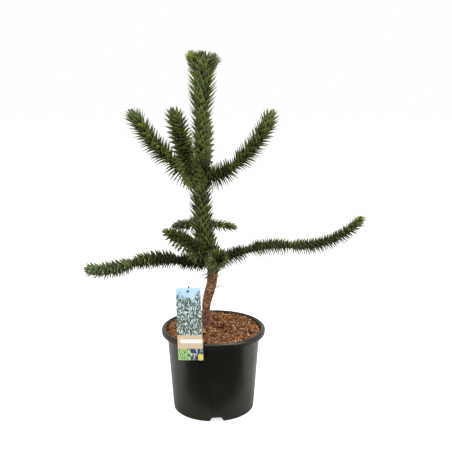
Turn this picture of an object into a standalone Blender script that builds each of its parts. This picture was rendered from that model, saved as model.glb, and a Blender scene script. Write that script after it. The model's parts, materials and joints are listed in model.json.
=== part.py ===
"""Potted monkey puzzle tree: a young tree with two whorls of branches, in a round black nursery pot.

Metres, +Z up. The origin is the centre of the pot's flat underside, and -Y is the front.
A heading is in degrees from +X towards +Y, so -90 points to the front. A rise is in degrees above level.
"""

import math
import random
from dataclasses import dataclass

import bmesh
import bpy
from mathutils import Matrix, Vector, noise
from mathutils.bvhtree import BVHTree

GAP = 0.0003
MERGE = 1e-5
SEED = 7

# Pot
POT_HEIGHT = 0.2613
POT_BASE_RADIUS = 0.1268
POT_TOP_RADIUS = 0.1446
POT_WALL = 0.003
POT_SIDES = 40
LIP_RADIUS = 0.1618
LIP_WIDTH = 0.0145
LIP_HEIGHT = 0.017
LIP_CROWN = 0.008
LIP_SKIN = 0.0028
BASE_CHAMFER = 0.0016
CHANNEL_COUNT = 4
CHANNEL_TURN = -85.0
CHANNEL_FOOT_WIDTH = 0.044
CHANNEL_ROOF_WIDTH = 0.028
CHANNEL_HEIGHT = 0.013
CHANNEL_INNER_END = 0.055
DRAIN_RADIUS = 0.005
DRAIN_FROM_CENTRE = 0.088

# Soil
SOIL_LEVEL = 0.2605
SOIL_EDGE_LEVEL = 0.2535
SOIL_EDGE_TILT = 0.0035
SOIL_HIGH_HEADING = 130.0
SOIL_ROUGHNESS = 0.0022
SOIL_GRAIN = 26.0
SOIL_RINGS = (0.018, 0.036, 0.056, 0.078, 0.10, 0.122)
SOIL_EDGE_GAP = 0.0004

# Trunk: (height, lean towards +X) and (height, radius)
TRUNK_FOOT = 0.2590
TRUNK_TOP = 1.052
TRUNK_LEAN = (
    (0.2590, -0.0221),
    (0.2760, -0.0221),
    (0.3367, -0.0215),
    (0.4048, -0.0047),
    (0.4624, -0.0029),
    (0.5635, -0.0288),
    (0.6626, -0.0363),
    (0.7298, -0.0376),
    (0.8438, -0.0350),
    (0.9901, -0.0316),
    (1.0520, -0.0300),
)
TRUNK_RADIUS = (
    (0.2590, 0.0160),
    (0.2680, 0.0128),
    (0.2950, 0.0121),
    (0.3200, 0.0126),
    (0.3600, 0.0150),
    (0.4200, 0.0160),
    (0.4624, 0.0150),
    (0.5300, 0.0112),
    (0.6500, 0.0094),
    (0.7298, 0.0086),
    (0.8600, 0.0066),
    (0.9900, 0.0046),
    (1.0520, 0.0034),
)
TRUNK_RINGS = 22
TRUNK_BEVEL = 4
LIMB_BEVEL = 2
STEM_BEVEL = 0

# Boughs, stems and leaves
BOUGH_LENGTH = 0.016
BOUGH_SWELL = 1.14
STEM_TIP_RADIUS = 0.0020
STEM_COLLAR = 0.005
TWIG_SLIMNESS = 0.8
STEM_STEP = 0.032
LEAF_WIDTH = 0.0225
LEAF_THICKNESS = 0.0036
LEAF_LONGEST = 0.042
LEAF_BREADTH = 0.66
LEAF_FLATNESS = 0.3
LEAF_SPACING = 0.0061
LEADER_SPACING = 0.0043
LEAF_WAIST = 0.30
LEAF_ROOT = 0.85
LEAF_TILT = 58.0
TIP_TILT = 30.0
STEEPEST_REACH = 40.0
TILT_SWAY = 5.0
TURN_SWAY = 6.0
REACH_SWAY = (0.92, 1.04)
GOLDEN_ANGLE = 137.508
YEAR_GROWTH = 0.135
YEAR_PINCH = 0.28
TIP_SHRINK = 0.28
CLEAR_LEAF = 1.10
CLEAR_LENGTH = 1.025
SLEEVE_SKIN = 0.0026

# Care label and its holder
LABEL_WIDTH = 0.077
LABEL_HEIGHT = 0.213
LABEL_THICKNESS = 0.0012
LABEL_CORNER = 0.003
LABEL_TURN = -15.0
LABEL_LEAN = -10.0
LABEL_ROLL = -5.0
LABEL_CENTRE_X = -0.066
LABEL_BELOW_LIP = 0.0418
LABEL_HOLE_DOWN = 0.010
LABEL_HOLE_RADIUS = 0.0026
HOLDER_RADIUS = 0.0030
HOLDER_SETBACK = 0.0052
HOLDER_PROUD = 0.0035
HOLDER_POINT = 0.1
HOLDER_DEPTH = 0.10
HOLDER_INSET = 0.014
PEG_RADIUS = 0.0020
PEG_HEAD_RADIUS = 0.0036
PEG_HEAD_LENGTH = 0.0016


@dataclass(frozen=True)
class Finish:
    """A plain surface: its name, colour, roughness and metallic value."""

    name: str
    colour: tuple
    roughness: float
    metallic: float = 0.0


BLACK_PLASTIC = Finish("black_plastic", (0.012, 0.012, 0.013), 0.42)
SOIL = Finish("bark_soil", (0.12, 0.060, 0.028), 0.95)
BARK = Finish("flaky_bark", (0.13, 0.062, 0.038), 0.9)
GREEN_STEM = Finish("green_stem", (0.050, 0.058, 0.022), 0.7)
OLD_LEAF = Finish("old_leaf", (0.020, 0.042, 0.014), 0.5)
LEAF = Finish("green_leaf", (0.042, 0.080, 0.020), 0.45)
YOUNG_LEAF = Finish("young_leaf", (0.130, 0.220, 0.050), 0.45)
DRY_LEAF = Finish("dry_leaf", (0.160, 0.085, 0.035), 0.7)
LABEL_PRINT = Finish("label_print", (0.42, 0.52, 0.46), 0.35)
HOLDER_PLASTIC = Finish("holder_plastic", (0.010, 0.010, 0.010), 0.4)


@dataclass(frozen=True)
class Twig:
    """A side shoot of a branch: how far along it grows, and its own heading, rise and length."""

    share: float
    heading: float
    rise: float
    length: float


@dataclass(frozen=True)
class Branch:
    """One branch: where it leaves the trunk, how it runs, and how far its leaves stand out."""

    name: str
    height: float
    heading: tuple
    rise: tuple
    length: float
    spread: tuple
    radius: float
    finish: Finish
    twigs: tuple = ()


UPPER_WHORL = 0.7298
LOWER_WHORL = 0.4624
TWIG_SPREAD = 0.019
RISE_PLACES = (0.0, 0.25, 0.5, 0.75, 1.0)
BRANCHES = (
    Branch("upper_right", UPPER_WHORL, (-2, 4), (3, 37, 46, 58, 69), 0.296, (0.032, 0.032), 0.0047, LEAF),
    Branch("upper_left", UPPER_WHORL + 0.004, (187, 185), (21, 41, 45, 56, 54), 0.276, (0.031, 0.030),
           0.0047, LEAF),
    Branch("upper_front", UPPER_WHORL - 0.006, (-107, -117), (11, 42, 60, 65, 58), 0.282, (0.031, 0.030),
           0.0046, LEAF),
    Branch("upper_rear", UPPER_WHORL, (84, 88), (14, 34, 48, 56, 58), 0.235, (0.030, 0.030), 0.0045, LEAF),
    Branch("lower_right", LOWER_WHORL, (0, 2), (26, 13, -3, 19, 48), 0.475, (0.028, 0.027), 0.0056, LEAF),
    Branch("lower_left", LOWER_WHORL, (186, 197), (5, 10, -6, -14, 13), 0.364, (0.025, 0.028),
           0.0056, OLD_LEAF),
    Branch("lower_front_left", LOWER_WHORL + 0.0166, (-138, -139), (40, 34, 31, 30, 30), 0.198,
           (0.036, 0.032), 0.0056, LEAF),
    Branch("lower_front_right", LOWER_WHORL, (-82, -80), (19, 19, 20, 20, 20), 0.150, (0.036, 0.036),
           0.0054, LEAF),
    Branch("lower_rear", LOWER_WHORL, (100, 100), (26, 27, 29, 31, 34), 0.255, (0.028, 0.026),
           0.0056, LEAF, (Twig(0.77, 0, -6, 0.083), Twig(0.77, 182, -4, 0.080))),
)
TOP_SHOOTS = (
    Branch("top_left", 1.028, (180, 178), (40, 52, 60, 68, 75), 0.062, (0.020, 0.022), 0.0024, YOUNG_LEAF),
    Branch("top_right", 1.032, (-6, 0), (38, 48, 58, 64, 68), 0.058, (0.020, 0.022), 0.0024, LEAF),
    Branch("top_dry", 1.024, (-34, -22), (30, 36, 40, 38, 34), 0.062, (0.013, 0.015), 0.0022, DRY_LEAF),
    Branch("top_rear", 1.026, (96, 92), (36, 48, 58, 62, 66), 0.060, (0.020, 0.021), 0.0024, LEAF),
)
TOP_CENTRE_LENGTH = 0.034
TOP_CENTRE_GAP = 0.0004
TOP_CENTRE_SPREAD = (0.021, 0.021)
TOP_SPACING = 0.0035
SLEEVES = (
    ("leader_lower", 0.420, 0.450, (0.032, 0.034)),
    ("leader_middle", 0.513, 0.712, (0.036, 0.038)),
    ("leader_upper", 0.750, 1.012, (0.036, 0.044)),
)


def make_collection(name):
    """A new collection under the scene's own."""
    made = bpy.data.collections.new(name)
    bpy.context.scene.collection.children.link(made)
    return made


def drop(obj):
    """Removes an object and its mesh or curve."""
    data = obj.data
    bpy.data.objects.remove(obj)
    if data.users == 0:
        (bpy.data.meshes if isinstance(data, bpy.types.Mesh) else bpy.data.curves).remove(data)


def add_mesh(name, mesh, collection):
    """A new object for the mesh in the collection."""
    obj = bpy.data.objects.new(name, mesh)
    collection.objects.link(obj)
    return obj


def paint(obj, finish):
    """Gives the object its own Principled material."""
    material = bpy.data.materials.new(f"{obj.name}_{finish.name}")
    material.use_nodes = True
    shader = material.node_tree.nodes["Principled BSDF"]
    shader.inputs["Base Color"].default_value = (*finish.colour, 1.0)
    shader.inputs["Roughness"].default_value = finish.roughness
    shader.inputs["Metallic"].default_value = finish.metallic
    obj.data.materials.clear()
    obj.data.materials.append(material)


def applied(obj, weld=False):
    """The object with its modifiers made part of its mesh, in world space, its caps welded if asked."""
    bpy.context.view_layer.update()
    graph = bpy.context.evaluated_depsgraph_get()
    mesh = bpy.data.meshes.new_from_object(obj.evaluated_get(graph), depsgraph=graph)
    shape = bmesh.new()
    shape.from_mesh(mesh)
    shape.transform(obj.matrix_world)
    if weld:
        bmesh.ops.remove_doubles(shape, verts=shape.verts, dist=MERGE)
    shape.to_mesh(mesh)
    shape.free()
    name, collection = obj.name, obj.users_collection[0]
    drop(obj)
    mesh.name = name
    return add_mesh(name, mesh, collection)


def cut(obj, cutter, solver="EXACT"):
    """Takes the cutter's solid out of the object."""
    modifier = obj.modifiers.new(f"Clear of {cutter.name}", "BOOLEAN")
    modifier.operation = "DIFFERENCE"
    modifier.solver = solver
    modifier.object = cutter


def join_all(obj, pieces):
    """Fuses every solid of the pieces' collection onto the object and removes them."""
    modifier = obj.modifiers.new("Fuse", "BOOLEAN")
    modifier.operation = "UNION"
    modifier.operand_type = "COLLECTION"
    modifier.solver = "MANIFOLD"
    modifier.collection = pieces
    fused = applied(obj)
    for piece in list(pieces.objects):
        drop(piece)
    bpy.data.collections.remove(pieces)
    return fused


def keep_largest(obj):
    """Drops loose scraps and sealed hollows: all but the island of faces with the widest box."""
    shape = bmesh.new()
    shape.from_mesh(obj.data)
    unseen = set(shape.verts)
    islands = []
    while unseen:
        edge = [unseen.pop()]
        island = set(edge)
        while edge:
            for link in edge.pop().link_edges:
                fresh = set(link.verts) & unseen
                unseen -= fresh
                island |= fresh
                edge.extend(fresh)
        islands.append(island)
    widest = max(islands, key=len)
    bmesh.ops.delete(shape, geom=[v for v in shape.verts if v not in widest], context="VERTS")
    shape.to_mesh(obj.data)
    shape.free()


def hide_cutter(obj):
    """Marks an object as a cutter or guide, not a piece."""
    obj.hide_render = True
    obj.display_type = "WIRE"
    return obj


def round_off(obj, angle=40.0):
    """Smooth shading with sharp edges kept."""
    obj.data.shade_smooth()
    obj.data.set_sharp_from_angle(angle=math.radians(angle))


def between(table, place):
    """Reads a table of (place, value) pairs along a smooth curve through them."""
    places = [row[0] for row in table]
    values = [row[1] for row in table]
    place = min(max(place, places[0]), places[-1])
    last = len(table) - 1
    i = max(k for k in range(last) if places[k] <= place)
    share = (place - places[i]) / (places[i + 1] - places[i])

    def slope(k):
        before, after = max(k - 1, 0), min(k + 1, last)
        return (values[after] - values[before]) / (places[after] - places[before])

    span = places[i + 1] - places[i]
    a, b = values[i], values[i + 1]
    u, v = slope(i) * span, slope(i + 1) * span
    return (
        a * (1 + 2 * share) * (1 - share) ** 2
        + u * share * (1 - share) ** 2
        + b * share**2 * (3 - 2 * share)
        - v * share**2 * (1 - share)
    )


def trunk_point(height):
    """The trunk's axis at a height."""
    return Vector((between(TRUNK_LEAN, height), 0.0, height))


def direction(heading, rise):
    """The unit vector of a heading and a rise in degrees."""
    turn, lift = math.radians(heading), math.radians(rise)
    return Vector((math.cos(lift) * math.cos(turn), math.cos(lift) * math.sin(turn), math.sin(lift)))


def bough_reach(branch):
    """How far along its axis a branch is a bare bough, from the trunk's axis."""
    return between(TRUNK_RADIUS, branch.height) + BOUGH_LENGTH


def branch_path(branch):
    """Points along a branch's axis: the trunk's axis, the bough's straight end, then steps to the tip."""
    bare = bough_reach(branch)
    count = max(4, round((branch.length - bare) / STEM_STEP))
    rises = tuple(zip(RISE_PLACES, branch.rise))
    start = trunk_point(branch.height)
    points = [start, start + direction(branch.heading[0], branch.rise[0]) * bare]
    for i in range(count):
        s = (i + 0.5) / count
        rise = between(rises, s)
        heading = branch.heading[0] + (branch.heading[1] - branch.heading[0]) * s
        points.append(points[-1] + direction(heading, rise) * ((branch.length - bare) / count))
    return points


def path_length(points):
    """The length of a path."""
    return sum((b - a).length for a, b in zip(points, points[1:]))


def tapered(points, first, last):
    """A radius for each point, from the first to the last."""
    count = len(points) - 1
    return [first + (last - first) * i / count for i in range(count + 1)]


def tube(name, points, radii, bevel, collection):
    """A closed tube through the points, with its own radius at each."""
    curve = bpy.data.curves.new(name, "CURVE")
    curve.dimensions = "3D"
    curve.bevel_depth = 1.0
    curve.bevel_resolution = bevel
    curve.use_fill_caps = True
    spline = curve.splines.new("POLY")
    spline.points.add(len(points) - 1)
    for place, point, radius in zip(spline.points, points, radii):
        place.co = (*point, 1.0)
        place.radius = radius
    return applied(add_mesh(name, curve, collection), weld=True)


def outside(radius, bevel):
    """The corner radius of a tube whose flats are this far from its axis."""
    sides = 4 + 2 * bevel
    return radius / math.cos(math.pi / sides)


def clear_radius(radius, bevel):
    """The radius of a cutter that stays a gap clear of a tube with this radius and as many sides."""
    return radius + outside(GAP, bevel)


def turned(name, profile, collection):
    """The solid that a profile of (radius, height) points makes when turned about +Z."""
    mesh = bpy.data.meshes.new(name)
    edges = [(i, i + 1) for i in range(len(profile) - 1)]
    mesh.from_pydata([(radius, 0.0, height) for radius, height in profile], edges, [])
    obj = add_mesh(name, mesh, collection)
    screw = obj.modifiers.new("Turn", "SCREW")
    screw.axis = "Z"
    screw.steps = POT_SIDES
    screw.render_steps = POT_SIDES
    screw.use_merge_vertices = True
    screw.merge_threshold = MERGE
    return applied(obj, weld=True)


def arc(centre, height, wide, tall, start, end, steps):
    """Points of an elliptic arc in (radius, height), between two angles in degrees."""
    made = []
    for i in range(steps + 1):
        angle = math.radians(start + (end - start) * i / steps)
        made.append((centre + wide * math.cos(angle), height + tall * math.sin(angle)))
    return made


def pot_inner_radius(height):
    """The radius of the pot's inner wall at a height."""
    lip_foot = POT_HEIGHT - LIP_HEIGHT
    if height <= lip_foot:
        return between(((0.0, POT_BASE_RADIUS - POT_WALL), (lip_foot, POT_TOP_RADIUS - POT_WALL)), height)
    shoulder = POT_HEIGHT - LIP_CROWN
    return between(((lip_foot, POT_TOP_RADIUS - POT_WALL), (shoulder, LIP_RADIUS - LIP_WIDTH)), height)


def channel(name, margin, inner_end, collection):
    """The block of one drain channel along +X, its faces moved out by a margin, longer than the wall."""
    bottom, top = -0.002, CHANNEL_HEIGHT + margin
    slope = (CHANNEL_FOOT_WIDTH - CHANNEL_ROOF_WIDTH) / 2 / CHANNEL_HEIGHT
    foot = CHANNEL_FOOT_WIDTH / 2 + margin - slope * bottom
    roof = CHANNEL_FOOT_WIDTH / 2 + margin - slope * top
    outer_end = POT_BASE_RADIUS * 1.15
    shape = bmesh.new()
    bmesh.ops.create_cube(shape, size=1.0)
    for vert in shape.verts:
        high = vert.co.z > 0
        vert.co.x = outer_end if vert.co.x > 0 else inner_end
        vert.co.y = math.copysign(roof if high else foot, vert.co.y)
        vert.co.z = top if high else bottom
    mesh = bpy.data.meshes.new(name)
    shape.to_mesh(mesh)
    shape.free()
    return add_mesh(name, mesh, collection)


def channel_angles():
    """The heading of each drain channel."""
    return [CHANNEL_TURN + i * 360.0 / CHANNEL_COUNT for i in range(CHANNEL_COUNT)]


def cylinder(name, radius, depth, place, collection, sides=16):
    """A closed cylinder along the place's own Z."""
    shape = bmesh.new()
    bmesh.ops.create_cone(shape, cap_ends=True, segments=sides, radius1=radius, radius2=radius,
                          depth=depth, matrix=place)
    mesh = bpy.data.meshes.new(name)
    shape.to_mesh(mesh)
    shape.free()
    return add_mesh(name, mesh, collection)


def build_pot(parts, cutters):
    """The pot: a tapered wall, a rolled lip, and a flat floor with drain channels under it."""
    lip_centre = LIP_RADIUS - LIP_WIDTH / 2
    shoulder = POT_HEIGHT - LIP_CROWN
    lip_foot = POT_HEIGHT - LIP_HEIGHT
    inside = LIP_WIDTH / 2 - LIP_SKIN
    profile = [(0.0, POT_WALL), (POT_BASE_RADIUS - POT_WALL, POT_WALL), (POT_TOP_RADIUS - POT_WALL, lip_foot)]
    profile += arc(lip_centre, shoulder, LIP_WIDTH / 2, LIP_CROWN, 180, 0, 6)
    profile += [(LIP_RADIUS - 0.0004, lip_foot + 0.002), (LIP_RADIUS - 0.0018, lip_foot)]
    profile += [(LIP_RADIUS - LIP_SKIN, lip_foot + 0.0004)]
    profile += arc(lip_centre, shoulder, inside, LIP_CROWN - LIP_SKIN, 0, 180, 3)
    profile += [(POT_TOP_RADIUS, lip_foot - 0.0008), (POT_BASE_RADIUS, BASE_CHAMFER)]
    profile += [(POT_BASE_RADIUS - BASE_CHAMFER, 0.0), (0.0, 0.0)]
    pot = turned("nursery_pot", profile, parts)

    filled = turned("pot_filled", [(0.0, 0.05), (pot_inner_radius(0.05) + POT_WALL / 2, 0.05),
                                   (pot_inner_radius(0.0) + POT_WALL / 2, 0.0), (0.0, 0.0)], cutters)
    humps = make_collection("channel_humps")
    for heading in channel_angles():
        hump = channel("hump", POT_WALL, CHANNEL_INNER_END - POT_WALL, humps)
        hump.matrix_world = Matrix.Rotation(math.radians(heading), 4, "Z")
        hump = applied(hump)
        inner = hump.modifiers.new("Inside the wall", "BOOLEAN")
        inner.operation = "INTERSECT"
        inner.object = filled
        applied(hump)
    pot = join_all(pot, humps)
    drop(filled)
    for heading in channel_angles():
        turn = Matrix.Rotation(math.radians(heading), 4, "Z")
        tunnel = channel("channel_cut", 0.0, CHANNEL_INNER_END, cutters)
        tunnel.matrix_world = turn
        cut(pot, hide_cutter(tunnel), "MANIFOLD")
        lift = turn @ Matrix.Translation((DRAIN_FROM_CENTRE, 0.0, CHANNEL_HEIGHT))
        cut(pot, hide_cutter(cylinder("drain_cut", DRAIN_RADIUS, 4 * POT_WALL, lift, cutters)), "MANIFOLD")
    pot = applied(pot)
    round_off(pot)
    paint(pot, BLACK_PLASTIC)
    return pot


def soil_top(x, y):
    """The soil's level: a low mound round the trunk that falls unevenly to the wall."""
    from_centre = math.hypot(x, y) / pot_inner_radius(SOIL_EDGE_LEVEL)
    heading = math.atan2(y, x) - math.radians(SOIL_HIGH_HEADING)
    edge = SOIL_EDGE_LEVEL + SOIL_EDGE_TILT * math.cos(heading)
    level = SOIL_LEVEL + (edge - SOIL_LEVEL) * from_centre**2
    rough = noise.noise(Vector((x * SOIL_GRAIN, y * SOIL_GRAIN, SEED))) * SOIL_ROUGHNESS
    return level + rough


def build_soil(parts, cutters, standing):
    """The soil: it fills the pot a gap clear, and is cut clear of the channels and of what stands in it."""
    lip_foot = POT_HEIGHT - LIP_HEIGHT
    floor = POT_WALL + GAP
    profile = [(0.0, SOIL_LEVEL)]
    profile += [(radius, SOIL_LEVEL) for radius in SOIL_RINGS]
    profile += [(pot_inner_radius(SOIL_EDGE_LEVEL), SOIL_EDGE_LEVEL)]
    profile += [(pot_inner_radius(lip_foot) - SOIL_EDGE_GAP, lip_foot)]
    profile += [(pot_inner_radius(floor) - SOIL_EDGE_GAP, floor), (0.0, floor)]
    soil = turned("potting_soil", profile, parts)
    for vert in soil.data.vertices:
        if vert.co.z < lip_foot + MERGE:
            continue
        vert.co.z = soil_top(vert.co.x, vert.co.y)
        flat = Vector((vert.co.x, vert.co.y))
        if flat.length > SOIL_RINGS[-1] + MERGE:
            vert.co.z = min(vert.co.z, POT_HEIGHT - LIP_CROWN)
            flat *= (pot_inner_radius(vert.co.z) - SOIL_EDGE_GAP) / flat.length
            vert.co.x, vert.co.y = flat
    for heading in channel_angles():
        hump = channel("hump_clearance", POT_WALL + GAP, CHANNEL_INNER_END - POT_WALL - GAP, cutters)
        hump.matrix_world = Matrix.Rotation(math.radians(heading), 4, "Z")
        cut(soil, hide_cutter(hump))
    for cutter in standing:
        cut(soil, cutter)
    soil = applied(soil)
    keep_largest(soil)
    round_off(soil)
    paint(soil, SOIL)
    return soil


def trunk_heights():
    """Heights of the trunk's rings, closer together at its foot."""
    span = TRUNK_TOP - TRUNK_FOOT
    return [TRUNK_FOOT + span * (i / TRUNK_RINGS) ** 1.25 for i in range(TRUNK_RINGS + 1)]


def build_trunk(parts, cutters):
    """The trunk, from its flat foot on the soil to its tip, and the cutter that keeps others clear of it."""
    heights = trunk_heights()
    points = [trunk_point(height) for height in heights]
    radii = [between(TRUNK_RADIUS, height) for height in heights]
    trunk = tube("trunk", points, radii, TRUNK_BEVEL, parts)
    round_off(trunk)
    paint(trunk, BARK)
    points = [points[0] - Vector((0, 0, GAP))] + points[1:-1] + [points[-1] + Vector((0, 0, GAP))]
    radii = [clear_radius(radius, TRUNK_BEVEL) for radius in radii]
    return trunk, hide_cutter(tube("trunk_clearance", points, radii, TRUNK_BEVEL, cutters))


def build_bough(branch, parts, clearance):
    """The bare foot of a branch, one tapering limb from the trunk to where the leaves begin."""
    points = branch_path(branch)[:2]
    radii = tapered(points, branch.radius * BOUGH_SWELL, branch.radius)
    bough = tube(f"bough_{branch.name}", points, radii, LIMB_BEVEL, parts)
    cut(bough, clearance)
    bough = applied(bough)
    keep_largest(bough)
    round_off(bough)
    paint(bough, GREEN_STEM)
    return bough


@dataclass
class Stem:
    """A leafy axis: its points and radii, how far its leaves stand out, and how closely they sit."""

    points: list
    radii: list
    spread: tuple
    spacing: float = LEAF_SPACING
    bud: bool = True
    bevel: int = STEM_BEVEL

    def at(self, distance):
        """The point, direction and radius at a distance along the stem."""
        done = 0.0
        for i, (a, b) in enumerate(zip(self.points, self.points[1:])):
            span = (b - a).length
            if distance <= done + span or i == len(self.points) - 2:
                share = min((distance - done) / span, 1.0)
                radius = self.radii[i] + (self.radii[i + 1] - self.radii[i]) * share
                return a.lerp(b, share), (b - a).normalized(), radius
            done += span
        return None


@dataclass
class Mass:
    """A leafy part of the plant: its name, its stems, the first one its main axis, and its finish."""

    name: str
    stems: list
    finish: Finish
    clear_of_trunk: bool = False


def leaf_shape():
    """A leaf one unit wide and thick: its waist at 0, its point up +Z, its root down, its keel at -Y."""
    shape = bmesh.new()
    bmesh.ops.create_cone(shape, cap_ends=True, segments=3, radius1=1.0, radius2=0.0, depth=1.0)
    bmesh.ops.translate(shape, verts=shape.verts, vec=(0, 0, 0.5))
    bmesh.ops.rotate(shape, verts=shape.verts, matrix=Matrix.Rotation(math.pi, 3, "Z"))
    base = min(shape.faces, key=lambda face: face.calc_center_median().z)
    root = bmesh.ops.poke(shape, faces=[base])["verts"][0]
    root.co.z = -1.0
    ring = [vert for vert in shape.verts if abs(vert.co.z) < 0.5]
    widest = max(ring, key=lambda vert: vert.co.x).co.x - min(ring, key=lambda vert: vert.co.x).co.x
    deepest = max(ring, key=lambda vert: vert.co.y).co.y - min(ring, key=lambda vert: vert.co.y).co.y
    bmesh.ops.scale(shape, verts=shape.verts, vec=(1 / widest, 1 / deepest, 1))
    bmesh.ops.recalc_face_normals(shape, faces=shape.faces)
    mesh = bpy.data.meshes.new("leaf")
    shape.to_mesh(mesh)
    shape.free()
    return mesh


def leaf_points(template, seat, axis, outward, tilt, size, swell=1.0, longer=1.0):
    """World points of one leaf: its waist a little above its seat, its root sunk below it."""
    length, width, thickness, root = size
    lift = math.radians(tilt)
    along = (axis * math.cos(lift) + outward * math.sin(lift)).normalized()
    side = axis.cross(outward).normalized()
    face = along.cross(side).normalized()
    waist = length * LEAF_WAIST
    made = []
    for vert in template.vertices:
        x, y, z = vert.co
        reach = waist + z * ((length - waist) * longer if z > 0 else waist + root)
        made.append(seat + along * reach + side * (x * width * swell) + face * (y * thickness * swell))
    return made


def tree_of(points, faces):
    """A search tree over the faces."""
    return BVHTree.FromPolygons(points, faces)


def faces_of(mesh):
    """The mesh's faces as lists of indices."""
    return [list(face.vertices) for face in mesh.polygons]


def nearest_share(point, masses):
    """For each mass, how far the point is from its axes as a share of its leaves' spread."""
    shares = {}
    for mass in masses:
        closest = 1e9
        for stem in mass.stems:
            for a, b in zip(stem.points, stem.points[1:]):
                run = b - a
                t = min(max((point - a).dot(run) / run.length_squared, 0.0), 1.0)
                closest = min(closest, (point - a - run * t).length / max(stem.spread))
        shares[mass.name] = closest
    return shares


def grow_leaves(mass, masses, template, blocked, chance):
    """The leaves of one mass that stay in its own space and touch nothing in the search trees."""
    faces = faces_of(template)
    grown = []
    for stem in mass.stems:
        length = path_length(stem.points)
        distance = stem.spacing
        turn = chance.uniform(0, 360)
        while distance < length + stem.spacing * (2 if stem.bud else 0):
            turn += GOLDEN_ANGLE + chance.uniform(-TURN_SWAY, TURN_SWAY)
            point, axis, radius = stem.at(min(distance, length))
            outward = axis.orthogonal().normalized()
            outward.rotate(Matrix.Rotation(math.radians(turn), 3, axis))
            left = length - distance
            spread = stem.spread[0] + (stem.spread[1] - stem.spread[0]) * min(distance / length, 1.0)
            near_tip = min(max(1 - left / (2 * spread), 0.0), 1.0) if stem.bud else 0.0
            tilt = LEAF_TILT + (TIP_TILT - LEAF_TILT) * near_tip + chance.uniform(-TILT_SWAY, TILT_SWAY)
            if left > YEAR_GROWTH / 2:
                spread *= 1 - YEAR_PINCH * max(0.0, math.cos(2 * math.pi * left / YEAR_GROWTH)) ** 6
            reach = (spread - radius) * chance.uniform(*REACH_SWAY) * (1 - TIP_SHRINK * near_tip)
            size = min(reach / math.sin(math.radians(max(tilt, STEEPEST_REACH))), LEAF_LONGEST)
            width = min(LEAF_WIDTH, size * LEAF_BREADTH)
            sizes = (size, width, min(LEAF_THICKNESS, width * LEAF_FLATNESS), radius * LEAF_ROOT)
            seat = point + outward * (radius * LEAF_ROOT)
            points = leaf_points(template, seat, axis, outward, tilt, sizes)
            wide = leaf_points(template, seat, axis, outward, tilt, sizes, CLEAR_LEAF, CLEAR_LENGTH)
            distance += stem.spacing
            tip = max(points, key=lambda place: (place - seat).length)
            shares = nearest_share(tip, masses)
            own = shares.pop(mass.name)
            if shares and own > min(shares.values()):
                continue
            tree = tree_of(wide, faces)
            if any(tree.overlap(other) for other in blocked):
                continue
            grown.append(points)
    return grown


def build_mass(mass, grown, template, parts, clearance):
    """Fuses a mass's stems and leaves into one solid, cut clear of the trunk where it meets it."""
    pieces = make_collection(f"{mass.name}_pieces")
    stems = [tube(f"{mass.name}_stem", stem.points, stem.radii, stem.bevel, pieces) for stem in mass.stems]
    for points in grown:
        mesh = template.copy()
        mesh.vertices.foreach_set("co", [value for point in points for value in point])
        add_mesh(f"{mass.name}_leaf", mesh, pieces)
    main = stems[0]
    pieces.objects.unlink(main)
    parts.objects.link(main)
    fused = join_all(main, pieces)
    if mass.clear_of_trunk:
        cut(fused, clearance)
        fused = applied(fused)
    keep_largest(fused)
    fused.name = mass.name
    fused.data.name = mass.name
    paint(fused, mass.finish)
    return fused


def branch_mass(branch, on_bough):
    """The leafy part of a branch with its side twigs, from its bough's end or from the trunk."""
    points = branch_path(branch)
    if on_bough:
        run = (points[1] - points[0]).normalized()
        points[:2] = [points[1] + run * GAP, points[1] + run * STEM_COLLAR]
    spacing = LEAF_SPACING if on_bough else TOP_SPACING
    main = Stem(points, tapered(points, branch.radius, STEM_TIP_RADIUS), branch.spread, spacing)
    stems = [main]
    for twig in branch.twigs:
        base, _, radius = main.at(twig.share * path_length(points))
        count = max(3, round(twig.length / STEM_STEP))
        run = direction(twig.heading, twig.rise) * (twig.length / count)
        line = [base + run * i for i in range(count + 1)]
        radii = tapered(line, radius * TWIG_SLIMNESS, STEM_TIP_RADIUS)
        stems.append(Stem(line, radii, (TWIG_SPREAD, TWIG_SPREAD)))
    return Mass(branch.name, stems, branch.finish, not on_bough)


def sleeve_mass(name, low, high, spread):
    """The leaves round a stretch of the trunk, on a thin tube that stands clear of it."""
    count = max(2, round((high - low) / (2 * STEM_STEP)))
    heights = [low + (high - low) * i / count for i in range(count + 1)]
    inner = [clear_radius(between(TRUNK_RADIUS, h), TRUNK_BEVEL) for h in heights]
    outer = [outside(radius, LIMB_BEVEL) + SLEEVE_SKIN for radius in inner]
    stem = Stem([trunk_point(h) for h in heights], outer, spread, LEADER_SPACING, False, LIMB_BEVEL)
    return Mass(name, [stem], LEAF, True)


def all_masses():
    """Every mass of leaves, the trunk's sleeves first."""
    masses = [sleeve_mass(*row) for row in SLEEVES]
    masses += [branch_mass(branch, True) for branch in BRANCHES]
    masses += [branch_mass(branch, False) for branch in TOP_SHOOTS]
    foot = trunk_point(TRUNK_TOP) + Vector((0, 0, TOP_CENTRE_GAP))
    line = [foot + Vector((0, 0, TOP_CENTRE_LENGTH * share)) for share in (0, 0.5, 1)]
    radii = tapered(line, between(TRUNK_RADIUS, TRUNK_TOP), STEM_TIP_RADIUS)
    stem = Stem(line, radii, TOP_CENTRE_SPREAD, TOP_SPACING)
    masses.append(Mass("top_centre", [stem], YOUNG_LEAF))
    return masses


def object_tree(obj):
    """A search tree over an object's faces."""
    return tree_of([vert.co.copy() for vert in obj.data.vertices], faces_of(obj.data))


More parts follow.
